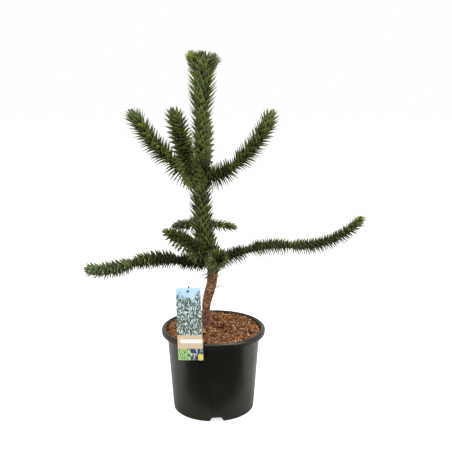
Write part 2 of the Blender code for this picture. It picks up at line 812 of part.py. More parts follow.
def build_foliage(parts, trunk, boughs, clearance):
    """Grows the leaves of every mass and fuses each mass into its own solid."""
    masses = all_masses()
    template = leaf_shape()
    chance = random.Random(SEED)
    trunk_tree = object_tree(trunk)
    bough_trees = [object_tree(bough) for bough in boughs]
    guides = make_collection("stem_guides")
    stem_trees = {}
    for mass in masses:
        stem_trees[mass.name] = []
        for stem in mass.stems:
            wider = [radius * CLEAR_LEAF for radius in stem.radii]
            guide = tube("guide", stem.points, wider, stem.bevel, guides)
            stem_trees[mass.name].append(object_tree(guide))
            drop(guide)
    bpy.data.collections.remove(guides)
    leaf_trees = {}
    for mass in masses:
        blocked = bough_trees + ([] if mass.clear_of_trunk else [trunk_tree])
        blocked += [tree for name, trees in stem_trees.items() if name != mass.name for tree in trees]
        blocked += [tree for trees in leaf_trees.values() for tree in trees]
        grown = grow_leaves(mass, masses, template, blocked, chance)
        leaf_trees[mass.name] = [tree_of(points, faces_of(template)) for points in grown]
        build_mass(mass, grown, template, parts, clearance)
    bpy.data.meshes.remove(template)


def label_place(pot):
    """The label's frame: its origin on its centreline at the lip, its back a gap clear of the lip."""
    turn = Matrix.Rotation(math.radians(LABEL_TURN), 3, "Z")
    lean = Matrix.Rotation(math.radians(LABEL_LEAN), 3, "X")
    roll = Matrix.Rotation(math.radians(LABEL_ROLL), 3, "Y")
    spin = turn @ lean @ roll
    front = spin @ Vector((0, -1, 0))
    support = max(front.dot(vert.co) for vert in pot.data.vertices)
    height = POT_HEIGHT - LIP_CROWN
    flat = support + GAP + LABEL_THICKNESS / 2 - front.x * LABEL_CENTRE_X - front.z * height
    return Matrix.Translation((LABEL_CENTRE_X, flat / front.y, height)) @ spin.to_4x4()


def build_label(pot, parts, cutters):
    """The care label: a thin card with round corners and a hole near its top, leaning on the pot's lip."""
    place = label_place(pot)
    shape = bmesh.new()
    bmesh.ops.create_cube(shape, size=1.0)
    bmesh.ops.scale(shape, verts=shape.verts, vec=(LABEL_WIDTH, LABEL_THICKNESS, LABEL_HEIGHT))
    bmesh.ops.translate(shape, verts=shape.verts, vec=(0, 0, LABEL_HEIGHT / 2 - LABEL_BELOW_LIP))
    corners = [edge for edge in shape.edges if abs(edge.verts[0].co.y - edge.verts[1].co.y) > MERGE]
    bmesh.ops.bevel(shape, geom=corners, offset=LABEL_CORNER, affect="EDGES", segments=3, profile=0.5)
    mesh = bpy.data.meshes.new("label_card")
    shape.to_mesh(mesh)
    shape.free()
    card = add_mesh("label_card", mesh, parts)
    card.matrix_world = place
    hole_height = LABEL_HEIGHT - LABEL_BELOW_LIP - LABEL_HOLE_DOWN
    hole = place @ Matrix.Translation((0, 0, hole_height)) @ Matrix.Rotation(math.radians(90), 4, "X")
    card = applied(card)
    cut(card, hide_cutter(cylinder("label_hole", LABEL_HOLE_RADIUS, 0.01, hole, cutters)))
    card = applied(card)
    paint(card, LABEL_PRINT)
    return hole


def build_holder(hole, parts, cutters):
    """The holder: a thin rod in the soil just inside the lip, with a peg through the label's hole."""
    front = (hole.to_3x3() @ Vector((0, 0, 1))).normalized()
    level = Vector((front.x, front.y, 0)).normalized()
    centre = hole.to_translation()
    top = centre - level * (LABEL_THICKNESS / 2 + HOLDER_SETBACK)
    top.z += LABEL_HOLE_DOWN + HOLDER_PROUD
    foot = top - level * HOLDER_INSET
    foot.z = SOIL_EDGE_LEVEL - HOLDER_DEPTH
    points = [foot, foot.lerp(top, HOLDER_POINT), top]
    radii = [HOLDER_RADIUS / 3, HOLDER_RADIUS, HOLDER_RADIUS]
    holder = tube("label_holder", points, radii, LIMB_BEVEL, parts)
    clear = [foot - Vector((0, 0, GAP))] + points[1:]
    hole_radii = [clear_radius(radius, LIMB_BEVEL) for radius in radii]
    clearance = hide_cutter(tube("holder_clearance", clear, hole_radii, LIMB_BEVEL, cutters))
    pegs = make_collection("peg_pieces")
    length = HOLDER_SETBACK + LABEL_THICKNESS + 2 * PEG_HEAD_LENGTH
    slant = hole.to_3x3().to_4x4()
    middle = centre + front * (LABEL_THICKNESS / 2 + PEG_HEAD_LENGTH - length / 2)
    cylinder("peg", PEG_RADIUS, length, Matrix.Translation(middle) @ slant, pegs, 12)
    head = centre + front * (LABEL_THICKNESS / 2 + GAP + PEG_HEAD_LENGTH / 2)
    cylinder("peg_head", PEG_HEAD_RADIUS, PEG_HEAD_LENGTH, Matrix.Translation(head) @ slant, pegs, 12)
    holder = join_all(holder, pegs)
    round_off(holder)
    paint(holder, HOLDER_PLASTIC)
    return clearance


def main():
    """Builds the pot, the plant, the label and the soil they stand in."""
    for obj in list(bpy.data.objects):
        bpy.data.objects.remove(obj)
    parts = make_collection("potted_monkey_puzzle_tree")
    cutters = make_collection("cutters")
    pot = build_pot(parts, cutters)
    trunk, trunk_clearance = build_trunk(parts, cutters)
    boughs = [build_bough(branch, parts, trunk_clearance) for branch in BRANCHES]
    build_foliage(parts, trunk, boughs, trunk_clearance)
    hole = build_label(pot, parts, cutters)
    holder_clearance = build_holder(hole, parts, cutters)
    build_soil(parts, cutters, (trunk_clearance, holder_clearance))


main()
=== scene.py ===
"""Looks of a young monkey puzzle tree in a round nursery pot, in a plain pale studio.

Metres, +Z up. The origin is the centre of the pot's flat underside, and -Y is the front.
A heading is in degrees from +X towards +Y, and a rise is in degrees above level.
"""

import json
import logging
import math
from collections.abc import Callable
from dataclasses import dataclass, field
from enum import Enum, IntEnum

import bmesh
import bpy
import numpy as np
from mathutils import Matrix, Vector, noise


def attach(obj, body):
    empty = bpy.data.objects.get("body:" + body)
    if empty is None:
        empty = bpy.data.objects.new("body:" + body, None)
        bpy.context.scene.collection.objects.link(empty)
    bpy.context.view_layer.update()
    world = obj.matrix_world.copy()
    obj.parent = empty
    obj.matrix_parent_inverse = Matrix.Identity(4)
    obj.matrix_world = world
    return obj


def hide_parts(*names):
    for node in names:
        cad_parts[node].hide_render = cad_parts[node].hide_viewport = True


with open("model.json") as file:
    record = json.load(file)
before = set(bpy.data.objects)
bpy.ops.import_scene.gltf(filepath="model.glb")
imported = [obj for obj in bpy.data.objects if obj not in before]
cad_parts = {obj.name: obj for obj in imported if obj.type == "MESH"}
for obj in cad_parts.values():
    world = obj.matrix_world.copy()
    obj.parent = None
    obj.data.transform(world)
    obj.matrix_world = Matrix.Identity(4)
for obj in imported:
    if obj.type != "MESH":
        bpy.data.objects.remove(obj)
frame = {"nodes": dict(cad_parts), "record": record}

SEED = 7
GAP = 0.0003
MERGE = 1e-6
STRAIGHT = 1e-3
LOG = logging.getLogger("potted_tree")
Shape = bmesh.types.BMesh
Piece = bpy.types.Object
Material = bpy.types.Material
Node = bpy.types.Node
NodeTree = bpy.types.NodeTree
Socket = bpy.types.NodeSocket
Pair = tuple[float, float]
Triple = tuple[float, float, float]
Colour = Triple
Table = tuple[Pair, ...]


# Helpers


def between(table: Table, place: float) -> float:
    """Reads a table of (place, value) pairs along a smooth curve through them.

    Args:
        table: The pairs, with rising places.
        place: Where to read; it is held inside the table.

    Returns:
        The value there.
    """
    places = [row[0] for row in table]
    values = [row[1] for row in table]
    place = min(max(place, places[0]), places[-1])
    last = len(table) - 1
    i = max(k for k in range(last) if places[k] <= place)
    span = places[i + 1] - places[i]
    share = (place - places[i]) / span

    def slope(k: int) -> float:
        """The curve's slope at a row of the table."""
        before, after = max(k - 1, 0), min(k + 1, last)
        return (values[after] - values[before]) / (places[after] - places[before])

    return (
        values[i] * (1 + 2 * share) * (1 - share) ** 2
        + slope(i) * span * share * (1 - share) ** 2
        + values[i + 1] * share**2 * (3 - 2 * share)
        - slope(i + 1) * span * share**2 * (1 - share)
    )


def direction(heading: float, rise: float) -> Vector:
    """The unit vector of a heading and a rise in degrees."""
    turn, lift = math.radians(heading), math.radians(rise)
    return Vector((math.cos(lift) * math.cos(turn), math.cos(lift) * math.sin(turn), math.sin(lift)))


def smooth_step(value: float, low: float, high: float) -> float:
    """0 below low, 1 above high, and a soft rise between them."""
    share = min(max((value - low) / (high - low), 0.0), 1.0)
    return share * share * (3 - 2 * share)


def turned(degrees: float, axis: str, size: int = 3) -> Matrix:
    """The matrix of a turn about an axis."""
    return Matrix.Rotation(math.radians(degrees), size, axis)


def facing(way: Vector) -> Matrix:
    """The matrix that turns +Z to point a way."""
    return way.to_track_quat("Z", "Y").to_matrix().to_4x4()


def finished(name: str, shape: Shape, materials: list[Material], sharp: float = 45.0) -> Piece:
    """Turns a bmesh into a smooth-shaded object at the origin.

    Args:
        name: The piece's name.
        shape: The bmesh, which is freed.
        materials: The piece's materials, in slot order.
        sharp: Edges that turn by more than this many degrees stay sharp.

    Returns:
        The new object, in the scene's collection.
    """
    mesh = bpy.data.meshes.new(name)
    shape.to_mesh(mesh)
    shape.free()
    return placed(name, mesh, materials, sharp)


def placed(name: str, mesh: bpy.types.Mesh, materials: list[Material], sharp: float = 45.0) -> Piece:
    """Puts a mesh in the scene as a smooth-shaded object.

    Args:
        name: The piece's name.
        mesh: Its mesh, in world space.
        materials: The piece's materials, in slot order.
        sharp: Edges that turn by more than this many degrees stay sharp.

    Returns:
        The new object, in the scene's collection.
    """
    for material in materials:
        mesh.materials.append(material)
    mesh.shade_smooth()
    mesh.set_sharp_from_angle(angle=math.radians(sharp))
    piece = bpy.data.objects.new(name, mesh)
    bpy.context.scene.collection.objects.link(piece)
    return piece


def laid_out(shape: Shape) -> tuple[np.ndarray, np.ndarray, np.ndarray]:
    """Reads a small form that is going to be repeated.

    Args:
        shape: The form.

    Returns:
        Its points, its faces' corners one after the other, and where each face starts among them.
    """
    shape.verts.index_update()
    points = np.array([vert.co[:] for vert in shape.verts])
    corners = np.array([vert.index for face in shape.faces for vert in face.verts])
    starts = np.cumsum([0] + [len(face.verts) for face in shape.faces][:-1])
    return points, corners, starts


def repeated(
    name: str, points: np.ndarray, corners: np.ndarray, starts: np.ndarray, dealt: np.ndarray,
) -> bpy.types.Mesh:
    """Makes one mesh of many copies of a form.

    Args:
        name: The mesh's name.
        points: Every copy's points, as copies by points by three.
        corners: The form's corners.
        starts: Where each of the form's faces starts among its corners.
        dealt: The material slot of every copy's faces, as copies by faces.

    Returns:
        The mesh.
    """
    copies = np.arange(len(points))[:, None]
    mesh = bpy.data.meshes.new(name)
    mesh.vertices.add(len(points) * points.shape[1])
    mesh.loops.add(len(points) * len(corners))
    mesh.polygons.add(len(points) * len(starts))
    mesh.vertices.foreach_set("co", points.astype(np.float32).ravel())
    for items, label, values in (
        (mesh.loops, "vertex_index", corners + copies * points.shape[1]),
        (mesh.polygons, "loop_start", starts + copies * len(corners)),
        (mesh.polygons, "material_index", dealt),
    ):
        items.foreach_set(label, values.astype(np.int32).ravel())
    mesh.update(calc_edges=True)
    return mesh


def hand_over(piece: Piece, slot: str, *nodes: str) -> None:
    """Lets a piece ride on the plant's one body and says which nodes it stands for.

    Args:
        piece: The finished piece.
        slot: The record's material slot; not used.
        nodes: The CAD nodes that it replaces.
    """
    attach(piece, "root")
    if nodes:
        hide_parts(*nodes)
    triangles = sum(len(face.vertices) - 2 for face in piece.data.polygons)
    LOG.info("%s: %d triangles, for %s", piece.name, triangles, ", ".join(nodes) or "no node")


def add_bar(shape: Shape, radius: float, length: float, sides: int, place: Matrix = Matrix()) -> None:
    """Adds a round bar with closed ends.

    Args:
        shape: The bmesh that it goes into.
        radius: Its radius.
        length: Its length along +Z, half of it below the middle.
        sides: Sides round it.
        place: Where it goes.
    """
    bmesh.ops.create_cone(
        shape, cap_ends=True, segments=sides, radius1=radius, radius2=radius, depth=length, matrix=place,
    )


def rounded(shape: Shape, items: list[object], offset: float, segments: int, affect: str = "EDGES") -> None:
    """Rounds edges or corners of a bmesh.

    Args:
        shape: The bmesh.
        items: Its edges or vertices.
        offset: How far the rounding reaches.
        segments: Steps across it.
        affect: EDGES or VERTICES.
    """
    bmesh.ops.bevel(shape, geom=items, offset=offset, affect=affect, segments=segments, profile=0.5, material=-1)


def spun(profile: list[Pair], steps: int) -> Shape:
    """Spins a profile of (radius, height) points about +Z into a closed shell.

    Args:
        profile: The points, starting and ending on the axis or closed on themselves.
        steps: Steps round the full turn.

    Returns:
        The shell, with its doubles merged and its faces pointing outwards.
    """
    shape = bmesh.new()
    verts = [shape.verts.new((radius, 0.0, height)) for radius, height in profile]
    edges = [shape.edges.new(pair) for pair in zip(verts, verts[1:])]
    bmesh.ops.spin(shape, geom=verts + edges, cent=(0, 0, 0), axis=(0, 0, 1), angle=2 * math.pi, steps=steps,
                   use_merge=True, use_duplicate=False)
    bmesh.ops.remove_doubles(shape, verts=shape.verts, dist=MERGE)
    bmesh.ops.recalc_face_normals(shape, faces=shape.faces)
    return shape


def arc(centre: float, height: float, wide: float, tall: float, start: float, end: float, steps: int) -> list[Pair]:
    """Points of an elliptic arc in (radius, height).

    Args:
        centre: The arc's centre radius.
        height: The arc's centre height.
        wide: Its half width.
        tall: Its half height.
        start: The angle it starts at, in degrees.
        end: The angle it ends at.
        steps: Steps along it.

    Returns:
        The points, both ends included.
    """
    angles = [math.radians(start + (end - start) * i / steps) for i in range(steps + 1)]
    return [(centre + wide * math.cos(a), height + tall * math.sin(a)) for a in angles]


# Shared shader groups


def wire(tree: NodeTree, *links: tuple[Node, str | int, Node, str | int]) -> None:
    """Links nodes of a tree.

    Args:
        tree: The tree.
        links: For each link, the node and output that it leaves and the node and input that it enters.
    """
    for source, output, target, entry in links:
        tree.links.new(source.outputs[output], target.inputs[entry])


class Groups:
    """The node groups that several finishes share, each built once."""

    made: dict[str, NodeTree] = {}

    @classmethod
    def start(cls, name: str, output: tuple[str, str], **inputs: object) -> tuple[NodeTree, Node, Node]:
        """Starts a new group with its sockets.

        Args:
            name: The group's name.
            output: The output's name and kind.
            inputs: Each input's default, a colour or a number; a vector has none.

        Returns:
            The tree, its input node and its output node.
        """
        tree = bpy.data.node_groups.new(name, "ShaderNodeTree")
        for label, value in inputs.items():
            kind = "Vector" if value is None else "Color" if isinstance(value, tuple) else "Float"
            socket = tree.interface.new_socket(label, in_out="INPUT", socket_type=f"NodeSocket{kind}")
            if value is not None:
                socket.default_value = value
        tree.interface.new_socket(output[0], in_out="OUTPUT", socket_type=f"NodeSocket{output[1]}")
        cls.made[name] = tree
        return tree, tree.nodes.new("NodeGroupInput"), tree.nodes.new("NodeGroupOutput")

    @classmethod
    def mottle(cls) -> NodeTree:
        """A colour that soft noise carries towards a second one.

        Returns:
            The group, built at the first call.
        """
        if "Mottle" in cls.made:
            return cls.made["Mottle"]
        tree, given, out = cls.start(
            "Mottle", ("Colour", "Color"), Vector=None, Colour=(0.5, 0.5, 0.5, 1), Second=(0.2, 0.2, 0.2, 1),
            Scale=50.0, Low=0.4, High=0.6,
        )
        cloud, spread, mix = (tree.nodes.new(f"ShaderNode{kind}") for kind in ("TexNoise", "MapRange", "Mix"))
        cloud.inputs["Detail"].default_value = 4.0
        spread.interpolation_type = "SMOOTHSTEP"
        mix.data_type = "RGBA"
        wire(tree, (given, "Vector", cloud, "Vector"), (given, "Scale", cloud, "Scale"),
             (cloud, "Fac", spread, "Value"), (given, "Low", spread, "From Min"), (given, "High", spread, "From Max"),
             (spread, "Result", mix, 0), (given, "Colour", mix, 6), (given, "Second", mix, 7), (mix, 2, out, "Colour"))
        return tree

    @classmethod
    def grain(cls) -> NodeTree:
        """A fine height that can be drawn out along Z, for bump.

        Returns:
            The group, built at the first call.
        """
        if "Grain" in cls.made:
            return cls.made["Grain"]
        tree, given, out = cls.start("Grain", ("Height", "Float"), Vector=None, Scale=400.0, Stretch=1.0, Detail=5.0)
        kinds = ("CombineXYZ", "VectorMath", "TexNoise")
        joined, drawn, cloud = (tree.nodes.new(f"ShaderNode{kind}") for kind in kinds)
        for label in "XY":
            joined.inputs[label].default_value = 1.0
        drawn.operation = "MULTIPLY"
        wire(tree, (given, "Stretch", joined, "Z"), (given, "Vector", drawn, 0), (joined, "Vector", drawn, 1),
             (drawn, "Vector", cloud, "Vector"), (given, "Scale", cloud, "Scale"), (given, "Detail", cloud, "Detail"),
             (cloud, "Fac", out, "Height"))
        return tree


class Sheet:
    """A material's node sheet, with short calls that add and join its nodes."""

    def __init__(self, name: str, roughness: float, specular: float = 0.5) -> None:
        """Starts a material with a Principled shader.

        Args:
            name: The material's name.
            roughness: The shader's own roughness.
            specular: The shader's own specular level.
        """
        self.material = bpy.data.materials.new(name)
        self.material.use_nodes = True
        self.tree = self.material.node_tree
        self.shader = self.tree.nodes["Principled BSDF"]
        self.fill(self.shader, {"Roughness": roughness, "Specular IOR Level": specular})
        self.place = self.add("ShaderNodeTexCoord")

    def add(self, kind: str) -> Node:
        """Adds a node of a kind."""
        return self.tree.nodes.new(kind)

    def fill(self, node: Node, values: dict[str | int, object]) -> None:
        """Fills inputs of a node.

        Args:
            node: The node.
            values: For each input's name or number, a socket that feeds it, a colour or a number.
        """
        for label, value in values.items():
            if isinstance(value, Socket):
                self.tree.links.new(value, node.inputs[label])
            else:
                node.inputs[label].default_value = (*value, 1.0) if isinstance(value, tuple) else value

    def apart(self, vector: Socket) -> tuple[Socket, Socket, Socket]:
        """Takes a vector apart.

        Args:
            vector: The vector.

        Returns:
            Its X, Y and Z.
        """
        node = self.add("ShaderNodeSeparateXYZ")
        self.fill(node, {"Vector": vector})
        return tuple(node.outputs)

    def group(self, tree: NodeTree, vector: Socket | None = None, **values: object) -> Node:
        """Places a shared group.

        Args:
            tree: The group.
            vector: What its Vector input reads; Object coordinates if none.
            values: Its other inputs, by name.

        Returns:
            The group's node.
        """
        node = self.add("ShaderNodeGroup")
        node.node_tree = tree
        self.fill(node, {"Vector": vector or self.place.outputs["Object"], **values})
        return node

    def mottled(
        self, colour: object, second: object, scale: float, low: float, high: float, vector: Socket | None = None,
    ) -> Socket:
        """A colour that noise carries towards a second one.

        Args:
            colour: The first colour or a socket with it.
            second: The second colour or a socket with it.
            scale: The noise's scale.
            low: The noise value where the second colour starts.
            high: The noise value where it is full.
            vector: The coordinates; Object coordinates if none.

        Returns:
            The socket with the mixed colour.
        """
        node = self.group(Groups.mottle(), vector, Colour=colour, Second=second, Scale=scale, Low=low, High=high)
        return node.outputs["Colour"]

    def grain(self, scale: float, detail: float, stretch: float = 1.0, vector: Socket | None = None) -> Socket:
        """A fine height.

        Args:
            scale: The noise's scale.
            detail: How many finer layers it has.
            stretch: Its scale along Z as a share of the others.
            vector: The coordinates; Object coordinates if none.

        Returns:
            The socket with the height.
        """
        node = self.group(Groups.grain(), vector, Scale=scale, Stretch=stretch, Detail=detail)
        return node.outputs["Height"]

    def mixed(self, share: Socket, first: object, second: object) -> Socket:
        """Mixes two colours by a socket's value.

        Args:
            share: 0 gives the first colour and 1 the second.
            first: The first colour or a socket with it.
            second: The second colour or a socket with it.

        Returns:
            The socket with the mixed colour.
        """
        mix = self.add("ShaderNodeMix")
        mix.data_type = "RGBA"
        self.fill(mix, {0: share, 6: first, 7: second})
        return mix.outputs[2]

    def sums(self, operation: str, first: object, second: object = 0.0) -> Socket:
        """A Math node of two values.

        Args:
            operation: The node's operation.
            first: A number or a socket.
            second: A number or a socket.

        Returns:
            The node's result.
        """
        node = self.add("ShaderNodeMath")
        node.operation = operation
        self.fill(node, {0: first, 1: second})
        return node.outputs["Value"]

    def times(self, first: Socket, second: object) -> Socket:
        """The product of a socket and a number or another socket."""
        return self.sums("MULTIPLY", first, second)

    def ranged(self, value: Socket, low: float, high: float, first: float = 0.0, last: float = 1.0) -> Socket:
        """A smooth step of a value from one range to another.

        Args:
            value: The socket to read.
            low: Where the step starts.
            high: Where it ends.
            first: The result at the start.
            last: The result at the end.

        Returns:
            The socket with the result.
        """
        node = self.add("ShaderNodeMapRange")
        node.interpolation_type = "SMOOTHSTEP"
        self.fill(node, {"Value": value, "From Min": low, "From Max": high, "To Min": first, "To Max": last})
        return node.outputs["Result"]

    def attribute(self, name: str) -> Socket:
        """Reads one of the piece's own attributes.

        Args:
            name: The attribute's name.

        Returns:
            Its value.
        """
        node = self.add("ShaderNodeAttribute")
        node.attribute_name = name
        return node.outputs["Fac"]

    def colour(self, source: Socket) -> None:
        """Feeds the shader's Base Color."""
        self.fill(self.shader, {"Base Color": source})

    def bump(self, height: Socket, strength: float, distance: float) -> None:
        """Feeds the shader's Normal from a height.

        Args:
            height: The height.
            strength: The bump's strength.
            distance: The depth of a full step, in metres.
        """
        node = self.add("ShaderNodeBump")
        self.fill(node, {"Strength": strength, "Distance": distance, "Height": height})
        self.fill(self.shader, {"Normal": node.outputs["Normal"]})


# Finishes


@dataclass(frozen=True)
class LeafFinish:
    """A leathery leaf surface of one tint."""

    name: str
    tint: Colour
    shade: Colour
    roughness: float = 0.42

    def build(self) -> Material:
        """Builds the material.

        Returns:
            The tint with darker clouds, and fine grain in the gloss.
        """
        sheet = Sheet(self.name, self.roughness, 0.32)
        sheet.colour(sheet.mottled(self.tint, self.shade, scale=90.0, low=0.35, high=0.75))
        sheet.bump(sheet.grain(scale=900.0, detail=3.0), strength=0.18, distance=0.0006)
        return sheet.material


@dataclass(frozen=True)
class BarkFinish:
    """Flaking brown bark with dark cracks and redder and paler plates.

    Its darker, redder foot and its green top each fade in between two heights.
    """

    name: str = "trunk_bark"
    plate: Colour = (0.335, 0.160, 0.084)
    tan: Colour = (0.480, 0.310, 0.200)
    red: Colour = (0.215, 0.070, 0.048)
    crack: Colour = (0.040, 0.020, 0.012)
    green: Colour = (0.045, 0.050, 0.020)
    darker_foot: Colour = (0.150, 0.062, 0.048)
    darker_foot_heights: Pair = (0.345, 0.270)
    darker_foot_share: float = 0.75
    green_heights: Pair = (0.440, 0.50)

    def build(self) -> Material:
        """Builds the material.

        Returns:
            Plates in three browns, dark in the cracks, darker at the foot, green high up.
        """
        sheet = Sheet(self.name, 0.86, 0.25)
        plates = sheet.mottled(self.plate, self.tan, scale=75.0, low=0.46, high=0.62)
        plates = sheet.mottled(plates, self.red, scale=120.0, low=0.48, high=0.66)
        # the crack colour is partly the fissures' own dark and partly painted shade in the recessed cracks
        cracked = sheet.mixed(sheet.attribute("crack"), plates, self.crack)
        height = sheet.apart(sheet.place.outputs["Object"])[2]
        # the bark turns darker and redder towards the foot
        low = sheet.mixed(sheet.ranged(height, *self.darker_foot_heights, 0.0, self.darker_foot_share), cracked, self.darker_foot)
        sheet.colour(sheet.mixed(sheet.ranged(height, *self.green_heights), low, self.green))
        sheet.bump(sheet.grain(scale=650.0, detail=6.0, stretch=0.35), strength=0.7, distance=0.0012)
        return sheet.material


@dataclass(frozen=True)
class StemFinish:
    """The green-brown skin of the branches between their leaves."""

    name: str = "branch_skin"
    green: Colour = (0.040, 0.052, 0.018)
    brown: Colour = (0.070, 0.042, 0.022)
    foot: Colour = (0.260, 0.105, 0.040)

    def build(self) -> Material:
        """Builds the material.

        Returns:
            Green with brown clouds, orange-brown on the bare feet, and a fine grain.
        """
        sheet = Sheet(self.name, 0.7, 0.3)
        green = sheet.mottled(self.green, self.brown, scale=110.0, low=0.42, high=0.62)
        sheet.colour(sheet.mixed(sheet.attribute("crack"), green, self.foot))
        sheet.bump(sheet.grain(scale=700.0, detail=5.0), strength=0.5, distance=0.0008)
        return sheet.material


@dataclass(frozen=True)
class PotFinish:
    """Semi-gloss black moulded plastic with a little dust."""

    name: str = "pot_plastic"
    black: Colour = (0.0102, 0.0100, 0.0090)
    dusty: Colour = (0.015, 0.014, 0.0125)
    gleam: Colour = (1.0, 0.93, 0.64)
    roughness: Pair = (0.22, 0.30)

    def build(self) -> Material:
        """Builds the material.

        Returns:
            Black with faint dust, an uneven gloss and a faint moulded grain.
        """
        sheet = Sheet(self.name, 0.24, 0.38)
        sheet.colour(sheet.mottled(self.black, self.dusty, scale=14.0, low=0.45, high=0.75))
        rough = sheet.ranged(sheet.grain(scale=22.0, detail=4.0, stretch=0.4), 0.3, 0.7, *self.roughness)
        sheet.fill(sheet.shader, {"Specular Tint": self.gleam, "Roughness": rough})
        sheet.bump(sheet.grain(scale=1500.0, detail=2.0, stretch=0.6), strength=0.10, distance=0.0004)
        return sheet.material


@dataclass(frozen=True)
class CrumbFinish:
    """One brown of the bark and coir mix."""

    name: str
    brown: Colour
    dark: Colour

    def build(self) -> Material:
        """Builds the material.

        Returns:
            A rough brown with darker clouds and a deep grain.
        """
        sheet = Sheet(self.name, 0.95, 0.15)
        sheet.colour(sheet.mottled(self.brown, self.dark, scale=160.0, low=0.40, high=0.64))
        sheet.bump(sheet.grain(scale=800.0, detail=5.0), strength=0.8, distance=0.0010)
        return sheet.material


@dataclass(frozen=True)
class PlainFinish:
    """A plain surface with a faint grain: the label's holder and the card's back."""

    name: str
    base: Colour
    shade: Colour
    roughness: float
    scale: float = 200.0

    def build(self) -> Material:
        """Builds the material.

        Returns:
            A colour with faint clouds and a faint grain.
        """
        sheet = Sheet(self.name, self.roughness, 0.4)
        sheet.colour(sheet.mottled(self.base, self.shade, self.scale, low=0.3, high=0.8))
        sheet.bump(sheet.grain(self.scale * 6, detail=3.0), strength=0.08, distance=0.0003)
        return sheet.material


@dataclass(frozen=True)
class FloorFinish:
    """A plain pale floor that looks white and keeps a faint shadow, with a painted reflection: a dark patch in front of
    the pot that only glossy rays see, so the pot mirrors dark at its front.

    The dark patch starts between two depths, further forward at its sides by a fan and a slant, and between
    two distances from the pot's middle, which a hollow widens at its sides.
    """

    name: str = "studio_floor"
    pale: Colour = (0.50, 0.50, 0.50)
    second: Colour = (0.48, 0.48, 0.48)
    # painted reflection: the dark that glossy rays see in the patch in front of the pot
    dark: Colour = (0.020, 0.020, 0.020)
    glow: float = 0.74
    fan: float = 0.25
    slant: float = 0.07
    depths: Pair = (0.010, -0.070)
    hollow: float = 1.3
    distances: Pair = (0.150, 0.205)

    def build(self) -> Material:
        """Builds the material.

        Returns:
            A pale matt surface that glows a little for the camera alone. In reflections a part of it, in front of the
            pot and a hand's breadth from it, is painted dark as a painted reflection.
        """
        sheet = Sheet(self.name, 0.9, 0.1)
        path = sheet.add("ShaderNodeLightPath")
        across, deep, _ = sheet.apart(sheet.place.outputs["Object"])
        edge = sheet.sums("ADD", deep, sheet.times(sheet.sums("ABSOLUTE", across), self.fan))
        edge = sheet.sums("SUBTRACT", edge, sheet.times(across, self.slant))
        square = sheet.times(across, across)
        radius = sheet.sums("SQRT", sheet.sums("ADD", square, sheet.times(deep, deep)))
        radius = sheet.sums("SUBTRACT", radius, sheet.times(square, self.hollow))
        # painted reflection: the dark patch's mask, seen by glossy rays alone
        front = sheet.times(sheet.ranged(edge, *self.depths), sheet.ranged(radius, *self.distances))
        front = sheet.times(front, path.outputs["Is Glossy Ray"])
        pale = sheet.mottled(self.pale, self.second, scale=3.0, low=0.3, high=0.8)
        sheet.colour(sheet.mixed(front, pale, self.dark))
        glow = sheet.times(path.outputs["Is Camera Ray"], self.glow)
        sheet.fill(sheet.shader, {"Emission Color": (1.0, 1.0, 1.0), "Emission Strength": glow})
        return sheet.material


